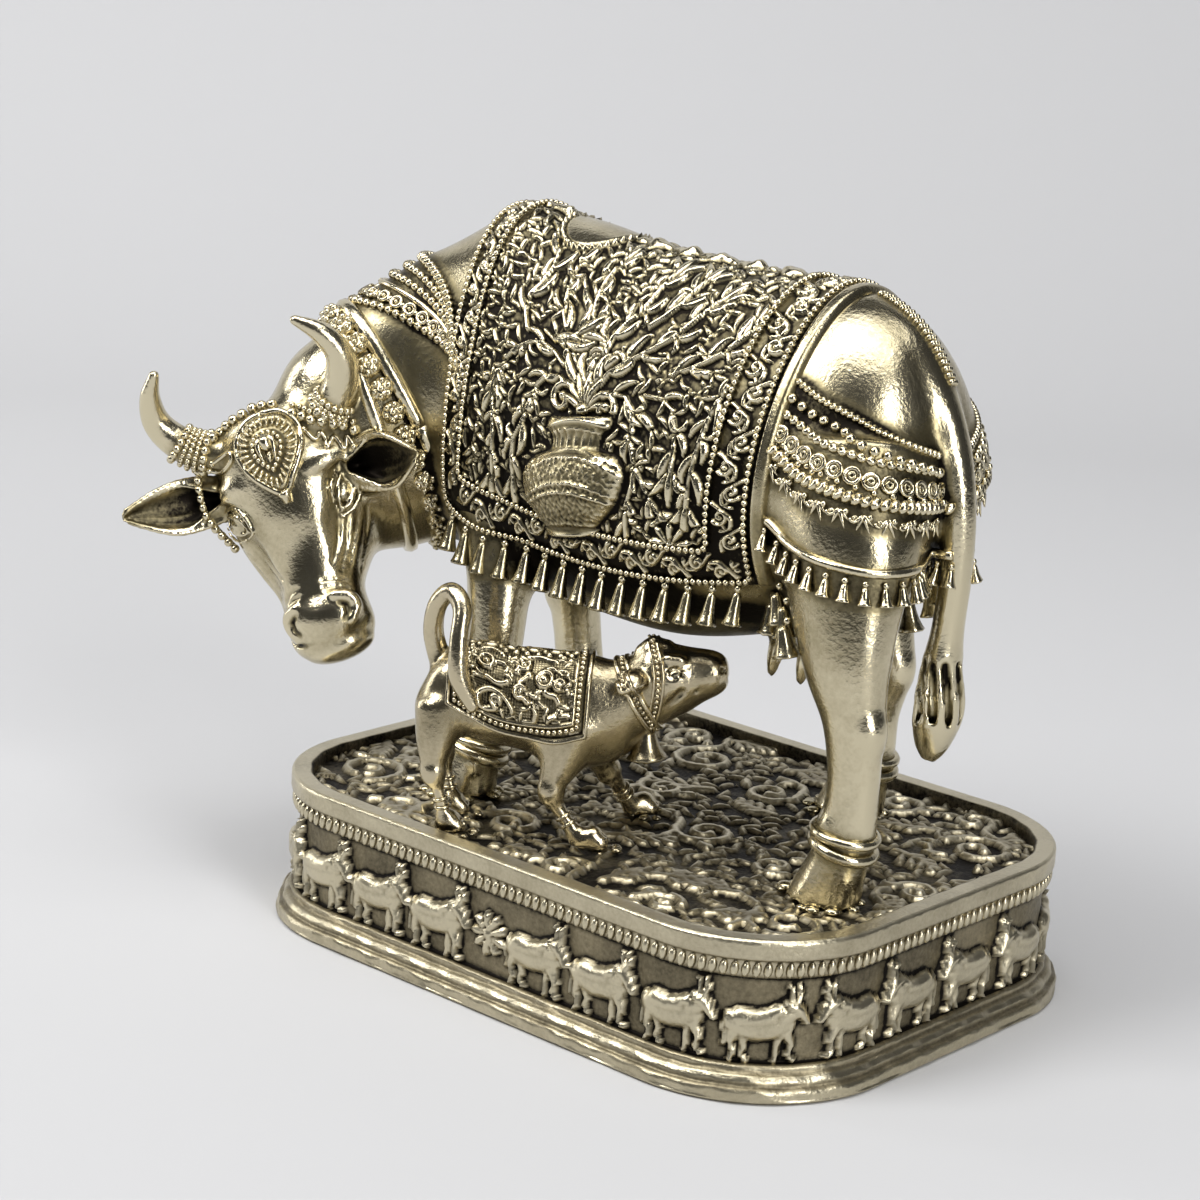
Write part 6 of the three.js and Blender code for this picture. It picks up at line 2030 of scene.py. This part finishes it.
def add_area(name, place, target, size, power):
    data = bpy.data.lights.new(name, "AREA")
    data.shape = "RECTANGLE"
    data.size, data.size_y = size
    data.energy = power
    back = unit(np.subtract(place, target).astype(float))
    right = unit(np.cross([0, 0, 1.0], back))
    put_at(bpy.data.objects.new(name, data), place, [right, np.cross(back, right), back])


def make_lights():
    middle = (0, 0, 60)
    add_area("key", (-440, -780, 950), middle, (0.56, 0.50), 9.6)
    add_area("right", (1080, -340, 510), middle, (0.36, 0.9), 8.2)
    add_area("left", (-950, -440, 240), middle, (0.24, 0.85), 3.0)
    add_area("top", (170, -260, 1220), middle, (1.2, 0.6), 9.2)
    add_area("backdrop light", (-60, 80, 1100), (-480, 550, 250), (1.0, 0.4), 2.6)
    world = bpy.data.worlds.new("world")
    bpy.context.scene.world = world
    world.use_nodes = True
    world.node_tree.nodes["Background"].inputs["Color"].default_value = (0.80, 0.82, 0.86, 1)
    world.node_tree.nodes["Background"].inputs["Strength"].default_value = 0.06
    bpy.context.scene.view_settings.view_transform = "Standard"


CAMERA_PLACE = (303.724, -367.463, 186.209)
CAMERA_LENS = 88.722
CAMERA_AZIMUTH, CAMERA_ELEVATION, CAMERA_ROLL = 41.204, 14.844, -3.407


def make_camera():
    data = bpy.data.cameras.new("camera")
    data.sensor_width = 36.0
    data.lens = CAMERA_LENS
    camera = bpy.data.objects.new("camera", data)
    azimuth, elevation, roll = map(math.radians, (CAMERA_AZIMUTH, CAMERA_ELEVATION, CAMERA_ROLL))
    flat = math.cos(elevation)
    back = np.array([math.sin(azimuth) * flat, -math.cos(azimuth) * flat, math.sin(elevation)])
    right = np.array([math.cos(azimuth), math.sin(azimuth), 0])
    up = np.cross(back, right)
    x = math.cos(roll) * right - math.sin(roll) * up
    y = math.sin(roll) * right + math.cos(roll) * up
    put_at(camera, CAMERA_PLACE, [x, y, back])
    bpy.context.scene.camera = camera


side_points, side_faces, side_wear = make_plinth_side(draw_frieze())
top_points, top_faces, top_wear = make_plinth_top(draw_floor())
plinth = [
    make_object("plinth_side", side_points, side_faces, PLINTH_BRASS, side_wear),
    make_object("plinth_top", top_points, top_faces, PLINTH_BRASS, top_wear),
    make_rope(),
]
dress(plinth, "plinth")
body_field = make_body_field()
head_field = make_head_field()
trim = Parts()
add_cloth_trim(trim, body_field, True)
add_cloth_trim(trim, body_field, False)
add_nape_strands(trim, body_field)
add_spine_ridge(trim, body_field)
add_anklets(trim, body_field)
add_solder(trim)
for side in (-1, 1):
    add_haunch_bands(trim, body_field, side)
    add_corner_bells(trim, body_field, side)
head_trim = Parts()
add_neck_collar(head_trim)
add_forehead_ornament(head_trim, head_field)
add_head_beads(head_trim, head_field)
cow = make_cow_body(body_field, head_field, trim.points + head_trim.points) + make_cow_cloth(body_field)
cow += [trim.make("cow_trim", COW_BRASS), head_trim.make("cow_head_trim", COW_BRASS)]
dress(cow, "cow")
dress(make_calf(), "calf")
make_stage()
make_lights()
make_camera()
